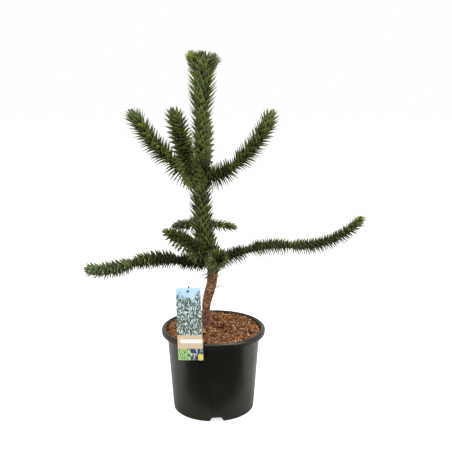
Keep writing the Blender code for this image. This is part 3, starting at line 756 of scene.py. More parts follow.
@dataclass(frozen=True)
class PrintFinish:
    """The card's generic print: sky over drifts of foliage, a cream panel, and two blocks at the foot.

    Places are shares of the card's width and height, and a pair is where an edge starts and is full.
    """

    name: str = "card_print"
    sky: Colour = (0.46, 0.70, 0.92)
    haze: Colour = (0.80, 0.88, 0.92)
    leaf: Colour = (0.062, 0.120, 0.066)
    leaf_dark: Colour = (0.009, 0.014, 0.020)
    leaf_pale: Colour = (0.67, 0.77, 0.745)
    cream: Colour = (0.62, 0.47, 0.30)
    white: Colour = (0.78, 0.79, 0.76)
    grass: Colour = (0.46, 0.64, 0.26)
    grass_dark: Colour = (0.07, 0.20, 0.05)
    blue: Colour = (0.025, 0.050, 0.090)
    yellow: Colour = (0.72, 0.60, 0.12)
    picture_foot: Pair = (0.343, 0.347)
    sky_rise: Pair = (0.45, 1.0)
    crest: Pair = (0.94, 0.86)
    drift_depth: float = 0.55
    band_foot: Pair = (0.232, 0.236)
    band_top: Pair = (0.292, 0.288)
    band_left: Pair = (0.10, 0.11)
    panel_foot: Pair = (0.158, 0.162)
    block_left: Pair = (0.50, 0.51)
    spot_left: Pair = (0.80, 0.81)
    spot_top: Pair = (0.085, 0.08)

    def build(self) -> Material:
        """Builds the material.

        Returns:
            The print, laid out on the card's own UV map, with a light gloss.
        """
        sheet = Sheet(self.name, 0.32, 0.5)
        uv = sheet.place.outputs["UV"]
        across, up, _ = sheet.apart(uv)
        drift = sheet.grain(scale=5.0, detail=5.0, vector=uv)
        speck = sheet.grain(scale=19.0, detail=5.0, stretch=0.7, vector=uv)

        picture = sheet.mixed(sheet.ranged(up, *self.sky_rise), self.haze, self.sky)
        foliage = sheet.mottled(self.leaf_dark, self.leaf, scale=34.0, low=0.44, high=0.56, vector=uv)
        foliage = sheet.mixed(sheet.ranged(speck, 0.545, 0.565), foliage, self.leaf_pale)
        crest = sheet.sums("ADD", up, sheet.times(sheet.sums("SUBTRACT", drift, 0.5), self.drift_depth))
        cover = sheet.times(sheet.ranged(crest, *self.crest), sheet.ranged(speck, 0.36, 0.44))
        picture = sheet.mixed(cover, picture, foliage)

        panel = sheet.mottled(self.cream, self.white, scale=30.0, low=0.50, high=0.9, vector=uv)
        band = sheet.times(sheet.ranged(up, *self.band_foot), sheet.ranged(up, *self.band_top))
        panel = sheet.mixed(sheet.times(band, sheet.ranged(across, *self.band_left)), panel, self.white)

        grass = sheet.mottled(self.grass, self.grass_dark, scale=22.0, low=0.44, high=0.58, vector=uv)
        block = sheet.mixed(sheet.ranged(speck, 0.55, 0.60), self.blue, self.white)
        spot = sheet.times(sheet.ranged(across, *self.spot_left), sheet.ranged(up, *self.spot_top))
        block = sheet.mixed(spot, block, self.yellow)
        foot = sheet.mixed(sheet.ranged(across, *self.block_left), grass, block)

        lower = sheet.mixed(sheet.ranged(up, *self.panel_foot), foot, panel)
        sheet.colour(sheet.mixed(sheet.ranged(up, *self.picture_foot), lower, picture))
        return sheet.material


# The plant's axes, as in the part's source


class Stage(Enum):
    """How old a stretch of leaves is, which sets the tints it takes; the shade stage is no age but painted shade, a
    darker mix for leaves that sit in shade.
    """

    WORN = "worn"
    STREAKED = "streaked"
    OLD = "old"
    SHADE = "shade"
    FULL = "full"
    OPEN = "open"
    MIXED = "mixed"
    FROSTED = "frosted"
    PALE = "pale"
    BUD = "bud"
    TIP = "tip"
    YOUNG = "young"
    GOLD = "gold"
    DRY = "dry"


Stages = tuple[tuple[float, Stage], ...]


@dataclass(frozen=True)
class Habit:
    """How leaves stand on their axis; angles are in degrees from the axis."""

    spacing: float
    tilt: float
    tip_tilt: float
    recurve: float
    breadth: float
    sway: float = 2.0
    skew: float = 0.0
    tip_zone: float = 1.2
    tip_shrink: float = 0.18
    bud_leaves: int = 12
    hang: float = 0.0
    keen: float = 0.0
    cup: float = 0.26
    short: float = 0.0
    climb: float = 0.0
    even: float = 0.0
    longest: float = 0.058


LEADER_HABIT = Habit(0.00120, 41, 34, -4, 0.36, 1.0, tip_zone=0.0, bud_leaves=0, cup=0.24)
CROWN_HABIT = Habit(
    0.00120, 45, 24, -6, 0.33, 1.0, tip_zone=0.7, tip_shrink=0.10, bud_leaves=22, cup=0.24, longest=0.064,
)
UPPER_HABIT = Habit(0.00112, 68, 32, 30, 0.38, skew=-2, hang=0.04, short=0.016, climb=66, even=0.5)
FRONT_HABIT = Habit(0.00085, 62, 30, 20, 0.31, skew=-4, hang=0.05, short=0.012, climb=24, even=0.4)
RIGHT_HABIT = Habit(0.00090, 66, 24, 30, 0.44, skew=10, hang=0.20, keen=0.36, short=0.005)
LEFT_HABIT = Habit(0.00095, 66, 38, 10, 0.56, tip_zone=1.3, tip_shrink=0.28, keen=0.10)
WHORL_HABIT = Habit(0.00082, 58, 16, 28, 0.31, tip_shrink=0.45, hang=0.24)
ROSETTE_HABIT = Habit(0.00105, 64, 46, 20, 0.27, 6.0, tip_zone=0.8, tip_shrink=0.20, bud_leaves=14, hang=-0.20)
REAR_HABIT = Habit(0.00105, 58, 20, 24, 0.42, hang=0.10)
TOP_HABIT = Habit(0.00075, 52, 46, -56, 0.26, 4.0, tip_zone=0.0, tip_shrink=0.0, bud_leaves=30)
DRY_HABIT = Habit(0.00190, 40, 20, 40, 0.13, 18.0, tip_zone=1.5, tip_shrink=0.0, bud_leaves=5)


@dataclass(frozen=True)
class Twig:
    """A side shoot of a branch: how far along it grows, and its own heading, rise and length."""

    share: float
    heading: float
    rise: float
    length: float


@dataclass(frozen=True)
class Branch:
    """One branch: where it leaves the trunk, how it runs, how far its leaves stand out, and their ages and painted
    shade.
    """

    name: str
    height: float
    heading: Pair
    rise: tuple[float, ...]
    length: float
    spread: tuple[float, ...]
    radius: float
    habit: Habit
    stages: Stages
    joints: tuple[float, ...] = ()
    twigs: tuple[Twig, ...] = ()


@dataclass
class Axis:
    """A tapering line through the plant, with a frame that runs along it without twisting."""

    points: np.ndarray
    radii: np.ndarray
    ups: np.ndarray = field(init=False)
    runs: np.ndarray = field(init=False)
    places: np.ndarray = field(init=False)

    def __post_init__(self) -> None:
        """Works out the distance, direction and carried frame at each point."""
        steps = np.diff(self.points, axis=0)
        lengths = np.linalg.norm(steps, axis=1)
        self.places = np.concatenate([[0.0], np.cumsum(lengths)])
        runs = steps / lengths[:, None]
        runs = np.vstack([runs[:1], runs[:-1] + runs[1:], runs[-1:]])
        self.runs = runs / np.linalg.norm(runs, axis=1)[:, None]
        seed = np.array([0.0, -1.0, 0.0]) if abs(self.runs[0][1]) < 0.8 else np.array([1.0, 0.0, 0.0])
        ups = []
        for run in self.runs:
            seed = seed - run * seed.dot(run)
            seed = seed / np.linalg.norm(seed)
            ups.append(seed)
        self.ups = np.array(ups)

    @property
    def length(self) -> float:
        """The axis's whole length."""
        return float(self.places[-1])

    def read(self, table: np.ndarray, distances: np.ndarray) -> np.ndarray:
        """Reads one of the axis's tables.

        Args:
            table: Vectors or numbers, one for each point.
            distances: Distances along the axis.

        Returns:
            The values there.
        """
        if table.ndim == 1:
            return np.interp(distances, self.places, table)
        return np.stack([np.interp(distances, self.places, table[:, i]) for i in range(3)], axis=1)

    def at(self, distances: np.ndarray) -> tuple[np.ndarray, np.ndarray, np.ndarray, np.ndarray]:
        """The place, direction, carried normal and radius at distances along the axis.

        Args:
            distances: Distances from its start.

        Returns:
            Four arrays, one row or number for each distance.
        """
        runs = self.read(self.runs, distances)
        runs = runs / np.linalg.norm(runs, axis=1)[:, None]
        ups = self.read(self.ups, distances)
        ups = ups - runs * (ups * runs).sum(axis=1)[:, None]
        ups = ups / np.linalg.norm(ups, axis=1)[:, None]
        return self.read(self.points, distances), runs, ups, self.read(self.radii, distances)


@dataclass
class Leader:
    """The trunk and leader: its lean, its radius, and the flare at its foot."""

    foot: float = 0.2590
    top: float = 1.0520
    lean: Table = (
        (0.2590, -0.0221), (0.2760, -0.0221), (0.3367, -0.0215), (0.4048, -0.0047), (0.4624, -0.0029),
        (0.5635, -0.0288), (0.6626, -0.0363), (0.7298, -0.0376), (0.8438, -0.0350), (0.9901, -0.0316),
        (1.0520, -0.0300),
    )
    radius: Table = (
        (0.2590, 0.0160), (0.2680, 0.0128), (0.2950, 0.0121), (0.3200, 0.0126), (0.3600, 0.0150),
        (0.4200, 0.0160), (0.4624, 0.0150), (0.5300, 0.0112), (0.6500, 0.0094), (0.7298, 0.0086),
        (0.8600, 0.0066), (0.9900, 0.0046), (1.0520, 0.0034),
    )
    bare: float = 0.016
    root_swell: float = 1.14

    def point(self, height: float) -> Vector:
        """The trunk's axis at a height."""
        return Vector((between(self.lean, height), 0.0, height))

    def width(self, height: float) -> float:
        """The trunk's radius at a height."""
        return between(self.radius, height)

    def stretch(self, low: float, high: float, step: float = 0.006) -> Axis:
        """The trunk's axis between two heights.

        Args:
            low: The height where it starts.
            high: The height where it ends.
            step: The distance between its points.

        Returns:
            The axis, with the trunk's own radii.
        """
        count = max(3, round((high - low) / step))
        heights = [low + (high - low) * i / count for i in range(count + 1)]
        points = np.array([self.point(height) for height in heights])
        return Axis(points, np.array([self.width(height) for height in heights]))

    def branch(self, branch: Branch, step: float = 0.006, tip: float = 0.0020) -> Axis:
        """A branch's axis from the trunk's own axis to its tip, by the source's rule.

        Args:
            branch: The branch.
            step: The distance between its points.
            tip: The radius of its tip.

        Returns:
            The axis, with its tapering radii.
        """
        bare = self.width(branch.height) + self.bare
        count = max(6, round((branch.length - bare) / step))
        rises = tuple(zip(RISE_PLACES, branch.rise))
        start = self.point(branch.height)
        straight = direction(branch.heading[0], branch.rise[0])
        points = [start + straight * (bare * i / 4) for i in range(5)]
        for i in range(count):
            s = (i + 0.5) / count
            rise = between(rises, s)
            heading = branch.heading[0] + (branch.heading[1] - branch.heading[0]) * s
            points.append(points[-1] + direction(heading, rise) * ((branch.length - bare) / count))
        radii = np.linspace(branch.radius * self.root_swell, tip, len(points))
        return Axis(np.array(points), radii)


UPPER_WHORL = 0.7298
LOWER_WHORL = 0.4624
RISE_PLACES = (0.0, 0.25, 0.5, 0.75, 1.0)
# the lower branches' inner stretches take the shade stage, painted shade for leaves in shade under the upper whorl
BRANCHES = (
    Branch("upper_right", UPPER_WHORL, (-2, 4), (3, 36, 46, 58, 69), 0.292, (0.053, 0.045, 0.040, 0.038),
           0.0047, UPPER_HABIT, ((0.0, Stage.FULL), (0.75, Stage.OPEN), (0.96, Stage.TIP)), (0.17,)),
    Branch("upper_left", UPPER_WHORL + 0.004, (187, 185), (19, 41, 45, 56, 54), 0.270, (0.060, 0.050, 0.041, 0.040),
           0.0047, UPPER_HABIT, ((0.0, Stage.FULL), (0.66, Stage.MIXED), (0.84, Stage.FROSTED)), (0.16,)),
    Branch("upper_front", UPPER_WHORL - 0.006, (-107, -117), (11, 42, 60, 65, 58), 0.280, (0.042, 0.042, 0.040),
           0.0046, FRONT_HABIT, ((0.0, Stage.OPEN), (0.5, Stage.MIXED), (0.97, Stage.TIP)), (0.15,)),
    Branch("upper_rear", UPPER_WHORL, (84, 88), (14, 34, 48, 56, 58), 0.235, (0.035, 0.034),
           0.0045, UPPER_HABIT, ((0.0, Stage.FULL), (0.5, Stage.OPEN), (0.96, Stage.TIP)), (0.15,)),
    Branch("lower_right", LOWER_WHORL, (0, 2), (26, 13, -3, 19, 48), 0.475, (0.040, 0.036, 0.035, 0.030),
           0.0056, RIGHT_HABIT, ((0.0, Stage.OLD), (0.22, Stage.SHADE), (0.90, Stage.FULL), (0.982, Stage.BUD)),
           (0.225, 0.355)),
    Branch("lower_left", LOWER_WHORL, (186, 197), (5, 10, -6, -14, 13), 0.362, (0.036, 0.035),
           0.0056, LEFT_HABIT, ((0.0, Stage.OLD), (0.45, Stage.SHADE), (0.65, Stage.FROSTED), (0.97, Stage.PALE)),
           (0.125, 0.26)),
    Branch("lower_front_left", LOWER_WHORL + 0.0166, (-138, -139), (40, 34, 31, 30, 30), 0.198,
           (0.047, 0.046, 0.038, 0.026), 0.0056, WHORL_HABIT,
           ((0.0, Stage.WORN), (0.20, Stage.STREAKED), (0.60, Stage.OPEN), (0.975, Stage.BUD)), (0.11,)),
    Branch("lower_front_right", LOWER_WHORL, (-82, -80), (19, 19, 20, 20, 20), 0.150, (0.036, 0.038),
           0.0054, ROSETTE_HABIT, ((0.0, Stage.STREAKED), (0.85, Stage.FULL))),
    Branch("lower_rear", LOWER_WHORL, (100, 100), (26, 27, 29, 31, 34), 0.255, (0.031, 0.029),
           0.0056, REAR_HABIT, ((0.0, Stage.OLD), (0.4, Stage.SHADE), (0.96, Stage.FULL)), (0.12,),
           (Twig(0.77, 0, -6, 0.083), Twig(0.77, 182, -4, 0.074))),
)
# the second twig's leaves take the shade stage, painted shade as they sit behind the leader
TWIG_STAGES = (((0.0, Stage.FULL), (0.6, Stage.OPEN), (0.96, Stage.TIP)), ((0.0, Stage.SHADE),))
TWIG_SPREADS = ((0.030, 0.026), (0.036, 0.031))
TOP_SHOOTS = (
    Branch("top_left", 1.028, (180, 178), (50, 61, 70, 77, 82), 0.065, (0.022, 0.026),
           0.0024, TOP_HABIT, ((0.0, Stage.OPEN), (0.60, Stage.TIP), (0.76, Stage.GOLD))),
    Branch("top_right", 1.032, (-6, 0), (40, 53, 65, 73, 79), 0.055, (0.024, 0.026),
           0.0024, TOP_HABIT, ((0.0, Stage.OPEN), (0.30, Stage.PALE))),
    Branch("top_dry", 1.030, (-34, -22), (34, 40, 42, 36, 30), 0.062, (0.014, 0.017),
           0.0012, DRY_HABIT, ((0.0, Stage.FULL), (0.25, Stage.DRY))),
    Branch("top_rear", 1.026, (96, 92), (36, 48, 58, 62, 66), 0.060, (0.026, 0.027),
           0.0024, TOP_HABIT, ((0.0, Stage.OPEN), (0.6, Stage.TIP))),
)
STRETCHES = (
    ("leader_lower", (0.4290, LOWER_WHORL), (0.030, 0.040), LEADER_HABIT, ((0.0, Stage.OPEN),)),
    ("leader_middle", (LOWER_WHORL, UPPER_WHORL), (0.045, 0.045, 0.042, 0.043), LEADER_HABIT,
     ((0.0, Stage.FULL), (0.8, Stage.OPEN))),
    ("leader_upper", (UPPER_WHORL, 1.048), (0.043, 0.040, 0.038, 0.038, 0.042, 0.051, 0.054, 0.047), CROWN_HABIT,
     ((0.0, Stage.WORN), (0.07, Stage.FULL), (0.2, Stage.OPEN))),
)


# Foliage


class Part(IntEnum):
    """The part of a leaf that a face lies in, which sets its material."""

    BLADE = 0
    # partly the real pale margin, partly painted highlight
    EDGE = 1
    POINT = 2
    # painted shade: a leaf's foot takes the darkest tint, for the shade among the leaf bases
    FOOT = 3


@dataclass
class LeafForm:
    """One leaf as a keeled trough a unit wide, long and deep, and its faces' parts.

    A station is (along, width). The section's points are (across, height) by eighths of a turn from the
    right margin over the top, and the blade's own height shrinks with its width, but never below a share.
    """

    stations: tuple[Pair, ...] = (
        (0.0, 0.84), (0.14, 1.0), (0.32, 0.95), (0.55, 0.70), (0.76, 0.39), (0.91, 0.15),
    )
    section: tuple[Pair, ...] = (
        (1.0, 0.50), (0.74, 0.24), (0.0, -0.12), (-0.74, 0.24), (-1.0, 0.50), (-0.74, 0.02), (0.0, -0.50), (0.74, 0.02),
    )
    flattest: float = 0.12
    points: np.ndarray = field(init=False)
    corners: np.ndarray = field(init=False)
    starts: np.ndarray = field(init=False)
    parts: np.ndarray = field(init=False)

    def __post_init__(self) -> None:
        """Extrudes an eight-sided section through the stations to a sharp point."""
        shape = bmesh.new()
        eighths = shape.verts.layers.int.new("eighth")
        bmesh.ops.create_circle(shape, cap_ends=True, segments=8, radius=1.0)
        bmesh.ops.rotate(shape, verts=shape.verts, matrix=turned(90, "X"))
        for vert in shape.verts:
            vert[eighths] = round(math.degrees(math.atan2(vert.co.z, vert.co.x)) / 45) % 8
        ring = list(shape.verts)
        self.fit(ring, eighths, *self.stations[0])
        for along, wide in self.stations[1:]:
            rim = [edge for edge in shape.edges if all(vert in ring for vert in edge.verts)]
            grown = bmesh.ops.extrude_edge_only(shape, edges=rim)["geom"]
            ring = [item for item in grown if isinstance(item, bmesh.types.BMVert)]
            self.fit(ring, eighths, along, wide)
        cap = bmesh.ops.contextual_create(shape, geom=ring)["faces"]
        point = bmesh.ops.poke(shape, faces=cap)["verts"][0]
        point.co = (0.0, 1.0, 0.0)
        bmesh.ops.recalc_face_normals(shape, faces=shape.faces)
        self.points, self.corners, self.starts = laid_out(shape)
        self.parts = np.array([self.part(face, eighths) for face in shape.faces])
        shape.free()

    def part(self, face: bmesh.types.BMFace, eighths: bmesh.types.BMLayerItem) -> Part:
        """Says which part of the leaf a face lies in.

        Args:
            face: The face.
            eighths: The layer with each vertex's place round the section.

        Returns:
            The part; a blade's faces next to its margins are its edge, and those near its seat are its foot, painted
            dark as shade.
        """
        along = face.calc_center_median().y
        if along > self.stations[-1][0]:
            return Part.POINT
        if along < self.stations[1][0]:
            return Part.FOOT
        margin = len(face.verts) == 4 and any(vert[eighths] in (0, 4) for vert in face.verts)
        return Part.EDGE if margin else Part.BLADE

    def fit(self, ring: list[bmesh.types.BMVert], eighths: bmesh.types.BMLayerItem, along: float, wide: float) -> None:
        """Moves one ring of the blade to its station.

        Args:
            ring: The ring's vertices.
            eighths: The layer with each vertex's place round the section.
            along: How far along the blade the ring lies.
            wide: Its width.
        """
        for vert in ring:
            across, height = self.section[vert[eighths]]
            vert.co = (across * wide / 2, along, height * (self.flattest + (1 - self.flattest) * wide))


@dataclass
class Spray:
    """The leaves of one mass, one row for each leaf."""

    seats: np.ndarray
    along: np.ndarray
    side: np.ndarray
    face: np.ndarray
    length: np.ndarray
    width: np.ndarray
    recurve: np.ndarray
    depth: np.ndarray
    tints: np.ndarray

    def only(self, keep: np.ndarray) -> "Spray":
        """The spray with only some of its leaves."""
        return Spray(*(getattr(self, name)[keep] for name in self.__dataclass_fields__))

    @staticmethod
    def joined(sprays: list["Spray"]) -> "Spray":
        """Several sprays as one."""
        names = Spray.__dataclass_fields__
        return Spray(*(np.concatenate([getattr(spray, name) for spray in sprays]) for name in names))

    def places(
        self, along: np.ndarray, high: np.ndarray | float = 0.0, across: np.ndarray | float = 0.0,
    ) -> np.ndarray:
        """Where points of every bent leaf lie.

        Args:
            along: The points' shares of the leaf's length, from 0 at the seat to 1 at the point.
            high: Their heights over its middle line, as shares of its depth.
            across: Their places across it, as shares of its width.

        Returns:
            An array of leaves by points by three.
        """
        bend = np.where(np.abs(self.recurve) < STRAIGHT, STRAIGHT, self.recurve)[:, None]
        length, depth = self.length[:, None], high * self.depth[:, None]
        reach = np.sin(bend * along) / bend * length + depth * np.sin(bend * along)
        drop = -(1 - np.cos(bend * along)) / bend * length + depth * np.cos(bend * along)
        return (
            self.seats[:, None]
            + self.along[:, None] * reach[..., None]
            + self.face[:, None] * drop[..., None]
            + self.side[:, None] * (across * self.width[:, None])[..., None]
        )


@dataclass
class Foliage:
    """All leaves of the plant, mass by mass, and the branches that carry them.

    Curl holds how much of its habit's recurve a level leaf takes, how much an even habit adds, and how much
    a leaf loses that points up. A joint narrows the leaves that stand near it.
    """

    leader: Leader
    form: LeafForm = field(default_factory=LeafForm)
    golden_angle: float = 137.508
    root: float = 0.06
    seat: float = 0.9
    steep: float = 0.45
    closing: float = 1.3
    curl: Triple = (0.55, 0.25, 0.75)
    twist: float = 5.0
    flattest: float = 40.0
    joint_cut: float = 0.30
    joint_reach: float = 0.013
    keep_clear: Pair = (1.1, 0.0005)
    upper_width: float = 0.10
    stage_blur: float = 0.02
    stray_breadth: float = 0.34
    stray_cup: float = 0.3
    stray_recurve: float = 20.0
    first_leaf: float = 0.004
    twig_first_leaf: float = 0.006
    twig_root: float = 0.8
    top_share: float = 0.82
    tip_run: Triple = (-0.007, 0.0, 0.032)
    tip_stop: float = 0.019
    tip_radius: float = 0.002
    axes: dict[str, list[Axis]] = field(default_factory=dict)
    materials: list[Material] = field(default_factory=list)
    chance: np.random.Generator = field(default_factory=lambda: np.random.default_rng(SEED))

    STRAY = (
        (0.4360, 200, -26, 0.028), (0.4310, 216, -40, 0.026), (0.4400, 228, -16, 0.026), (0.4290, 190, -52, 0.020),
        (0.4400, -22, 20, 0.030),
    )
    TINTS = (
        ("leaf_old", (0.031, 0.029, 0.015), (0.014, 0.013, 0.007)),
        ("leaf_dark", (0.060, 0.069, 0.031), (0.029, 0.036, 0.015)),
        ("leaf_green", (0.094, 0.121, 0.040), (0.048, 0.065, 0.021)),
        ("leaf_olive", (0.146, 0.174, 0.036), (0.080, 0.100, 0.021)),
        ("leaf_frosted", (0.092, 0.124, 0.066), (0.048, 0.070, 0.036)),
        ("leaf_pale", (0.165, 0.200, 0.100), (0.092, 0.118, 0.056)),
        ("leaf_bright", (0.270, 0.360, 0.034), (0.150, 0.230, 0.022)),
        ("leaf_dry", (0.330, 0.238, 0.166), (0.230, 0.145, 0.095)),
        ("leaf_gold", (0.420, 0.270, 0.030), (0.300, 0.200, 0.030)),
    )
    # The margins' tints are partly the leaves' real pale margins and partly painted highlight, where the margins catch
    # the light.
    EDGES = (
        ("edge_dark", (0.130, 0.138, 0.050), (0.062, 0.066, 0.024)),
        ("edge_olive", (0.290, 0.360, 0.085), (0.160, 0.205, 0.042)),
        ("edge_bright", (0.380, 0.450, 0.080), (0.260, 0.330, 0.050)),
        ("edge_pale", (0.230, 0.290, 0.130), (0.140, 0.180, 0.080)),
        ("leaf_point", (0.170, 0.135, 0.075), (0.090, 0.070, 0.040)),
    )
    EDGE_OF = (0, 0, 1, 1, 3, 3, 2, 4, 2)
    MIXES = {
        Stage.STREAKED: (0.10, 0.22, 0.26, 0.22, 0.02, 0.18, 0, 0, 0),
        Stage.WORN: (0.16, 0.36, 0.24, 0.04, 0.04, 0, 0, 0.16, 0),
        Stage.OLD: (0.62, 0.33, 0.05, 0, 0, 0, 0, 0, 0),
        # painted shade: a darker mix for leaves that sit in shade
        Stage.SHADE: (0.30, 0.52, 0.18, 0, 0, 0, 0, 0, 0),
        Stage.FULL: (0.04, 0.42, 0.44, 0.10, 0, 0, 0, 0, 0),
        Stage.OPEN: (0.02, 0.20, 0.53, 0.25, 0, 0, 0, 0, 0),
        Stage.MIXED: (0, 0.20, 0.38, 0.22, 0.14, 0.06, 0, 0, 0),
        Stage.FROSTED: (0, 0.30, 0.18, 0, 0.42, 0.10, 0, 0, 0),
        Stage.PALE: (0, 0.04, 0.14, 0.10, 0.40, 0.32, 0, 0, 0),
        Stage.BUD: (0, 0, 0.12, 0.28, 0, 0, 0.60, 0, 0),
        Stage.TIP: (0, 0, 0.30, 0.42, 0.08, 0.12, 0.08, 0, 0),
        Stage.YOUNG: (0.08, 0.34, 0.26, 0.18, 0.06, 0, 0.08, 0, 0),
        Stage.GOLD: (0, 0, 0.14, 0.44, 0, 0, 0.20, 0, 0.22),
        Stage.DRY: (0, 0, 0.04, 0, 0, 0, 0, 0.96, 0),
    }

    def dress(self) -> None:
        """Builds the leaf materials: the tints first, then the edges and the points."""
        self.materials = [LeafFinish(*row).build() for row in self.TINTS + self.EDGES]

    def grow(
        self, axis: Axis, start: float, stop: float, spread: tuple[float, ...], habit: Habit, stages: Stages,
        joints: tuple[float, ...] = (),
    ) -> Spray:
        """Leaves along an axis, each a golden angle on from the last, by the source's rule.

        Args:
            axis: The axis they grow on.
            start: The distance along it of the first leaf.
            stop: The distance of the last.
            spread: How far they stand out from the axis, at even steps from its foot to its tip.
            habit: How they stand.
            stages: From which share of the axis each age or the painted shade starts.
            joints: Distances from the tip where one year's growth ends and leaves are short.

        Returns:
            The leaves.
        """
        chance, extra = self.chance, habit.bud_leaves
        count = int((stop - start) / habit.spacing)
        distances = np.concatenate([start + habit.spacing * np.arange(count), np.full(extra, stop)])
        total = len(distances)
        turns = self.golden_angle * np.arange(total) + chance.uniform(0, 360) + chance.uniform(-2, 2, total)
        points, runs, ups, radii = axis.at(distances)
        cosines, sines = np.cos(np.radians(turns))[:, None], np.sin(np.radians(turns))[:, None]
        outs = ups * cosines + np.cross(runs, ups) * sines
        left, lift = stop - distances, outs[:, 2]
        share = np.clip(distances / axis.length, 0, 1)
        stand = np.interp(share, np.linspace(0, 1, len(spread)), spread)
        near = np.clip(1 - left / (habit.tip_zone * stand), 0, 1) if habit.tip_zone else np.zeros(total)
        near[count:] = 1.0
        stance = habit.tilt + habit.skew * lift - habit.climb * np.clip(runs[:, 2] - self.steep, 0, 1)
        tilt = stance + (habit.tip_tilt - stance) * near**self.closing
        tilt = tilt + chance.uniform(-habit.sway, habit.sway, total)
        tilt[count:] = np.linspace(habit.tip_tilt, 2, extra)
        level, even, raised = self.curl
        curl = level + even * habit.even - raised * (1 - habit.even) * lift
        recurve = habit.recurve * curl * (1 - near) + chance.uniform(-3, 3, total)
        for joint in joints:
            stand = stand * (1 - self.joint_cut * np.exp(-(((left - joint) / self.joint_reach) ** 2)))
        reach = (stand - radii) * chance.uniform(0.95, 1.03, total)
        reach = reach * (1 - habit.tip_shrink * near) * (1 - habit.hang * lift)
        steepness = np.radians(np.maximum(tilt + recurve * 0.5, self.flattest))
        length = np.minimum(reach / np.sin(steepness), habit.longest)
        width = length * habit.breadth * chance.uniform(0.9, 1.1, total)
        width = width * (1 + (self.upper_width + habit.keen) * lift)

        lean, bend = np.radians(tilt), np.radians(recurve)
        along = runs * np.cos(lean)[:, None] + outs * np.sin(lean)[:, None]
        side = np.cross(outs, runs)
        face = np.cross(side, along)
        twist = np.radians(chance.normal(0, self.twist, total))
        side, face = (side * np.cos(twist)[:, None] + face * np.sin(twist)[:, None],
                      face * np.cos(twist)[:, None] - side * np.sin(twist)[:, None])
        seats = points + outs * (radii * self.seat)[:, None] - along * (length * self.root)[:, None]
        return Spray(seats, along, side, face, length, width, bend, width * habit.cup, self.tint(share, stages))

    def tint(self, share: np.ndarray, stages: Stages) -> np.ndarray:
        """Deals each leaf a tint from the mix of its age or of the painted shade.

        Args:
            share: How far along its axis each leaf grows.
            stages: From which share each age or the painted shade starts.

        Returns:
            The number of each leaf's tint.
        """
        blurred = share + self.chance.normal(0, self.stage_blur, len(share))
        tints = np.zeros(len(share), int)
        for low, stage in stages:
            mix = np.array(self.MIXES[stage], float)
            dealt = self.chance.choice(len(mix), len(share), p=mix / mix.sum())
            tints = np.where(blurred >= low if low > 0 else True, dealt, tints)
        return tints

    def clear(self, name: str, spray: Spray) -> Spray:
        """Skips the leaves that would run into a branch of another mass or into the trunk.

        Args:
            name: The leaves' own mass.
            spray: The leaves.

        Returns:
            The leaves that stay.
        """
        line = spray.places(np.array([0.3, 0.5, 0.7, 0.85, 1.0]))
        keep = np.ones(len(spray.seats), bool)
        for axis in (axis for other, axes in self.axes.items() if other != name for axis in axes):
            gaps = np.linalg.norm(line[:, :, None] - axis.points[None, None], axis=-1)
            nearest = gaps.argmin(axis=-1)
            keep &= (gaps.min(axis=-1) > axis.radii[nearest] * self.keep_clear[0] + self.keep_clear[1]).all(axis=1)
        return spray.only(keep)

    def mesh(self, name: str, spray: Spray) -> Piece:
        """Joins a mass's leaves into one piece.

        Args:
            name: The piece's name.
            spray: The leaves.

        Returns:
            The piece.
        """
        form = self.form
        across, along, high = form.points.T
        size = (len(spray.seats), len(form.parts))
        edges = len(self.TINTS) + np.array(self.EDGE_OF)[spray.tints]
        point = len(self.TINTS) + len(self.EDGES) - 1
        # a leaf's foot takes leaf_old as painted shade among the leaf bases
        shades = {Part.BLADE: spray.tints[:, None], Part.EDGE: edges[:, None], Part.POINT: point, Part.FOOT: 0}
        choices = [np.broadcast_to(shades[part], size) for part in Part]
        faces = np.choose(np.broadcast_to(form.parts, size), choices)
        used = np.unique(faces)
        points = spray.places(along, high, across)
        mesh = repeated(name, points, form.corners, form.starts, np.searchsorted(used, faces))
        return placed(name, mesh, [self.materials[i] for i in used], 32.0)

    def shoot(self, base: np.ndarray, run: np.ndarray, radius: float, count: int) -> Axis:
        """A short straight shoot.

        Args:
            base: Where it starts.
            run: From there to its tip.
            radius: Its radius at its start.
            count: How many points its axis has.

        Returns:
            Its axis.
        """
        shares = np.linspace(0, 1, count)
        return Axis(base + shares[:, None] * run, np.linspace(radius, self.tip_radius, count))

    def limbs(self) -> None:
        """Works out the axes of the trunk, every branch, every twig and every top shoot."""
        leader = self.leader
        self.axes["trunk"] = [leader.stretch(leader.foot, leader.top)]
        for branch in BRANCHES + TOP_SHOOTS:
            axis = leader.branch(branch)
            self.axes[branch.name] = [axis]
            for twig in branch.twigs:
                base, _, _, radius = axis.at(np.array([twig.share * axis.length]))
                run = np.array(direction(twig.heading, twig.rise)) * twig.length
                shoot = self.shoot(base, run, radius[0] * self.twig_root, max(6, round(twig.length / 0.006)))
                self.axes[branch.name].append(shoot)
        tip = self.shoot(np.array(leader.point(leader.top)), np.array(self.tip_run), leader.width(leader.top), 8)
        self.axes["top_centre"] = [tip]

    def stray(self) -> Spray:
        """Grows the few old leaves that hang on the trunk under the lower whorl.

        Returns:
            The leaves.
        """
        heights, headings, rises, lengths = np.array(self.STRAY).T
        heading, rise = np.radians(headings), np.radians(rises)
        level = np.stack([np.cos(heading), np.sin(heading), np.zeros(len(heights))], axis=1)
        along = level * np.cos(rise)[:, None] + np.array([0, 0, 1.0]) * np.sin(rise)[:, None]
        side = np.stack([-np.sin(heading), np.cos(heading), np.zeros(len(heights))], axis=1)
        base = np.array([self.leader.point(height) for height in heights])
        radii = np.array([self.leader.width(height) for height in heights])
        width = lengths * self.stray_breadth
        bend = np.radians(np.full(len(heights), self.stray_recurve))
        seats = base + level * (radii * self.seat)[:, None]
        tints = self.tint(np.zeros(len(heights)), ((0.0, Stage.FULL),))
        return Spray(seats, along, side, np.cross(side, along), lengths, width, bend, width * self.stray_cup, tints)

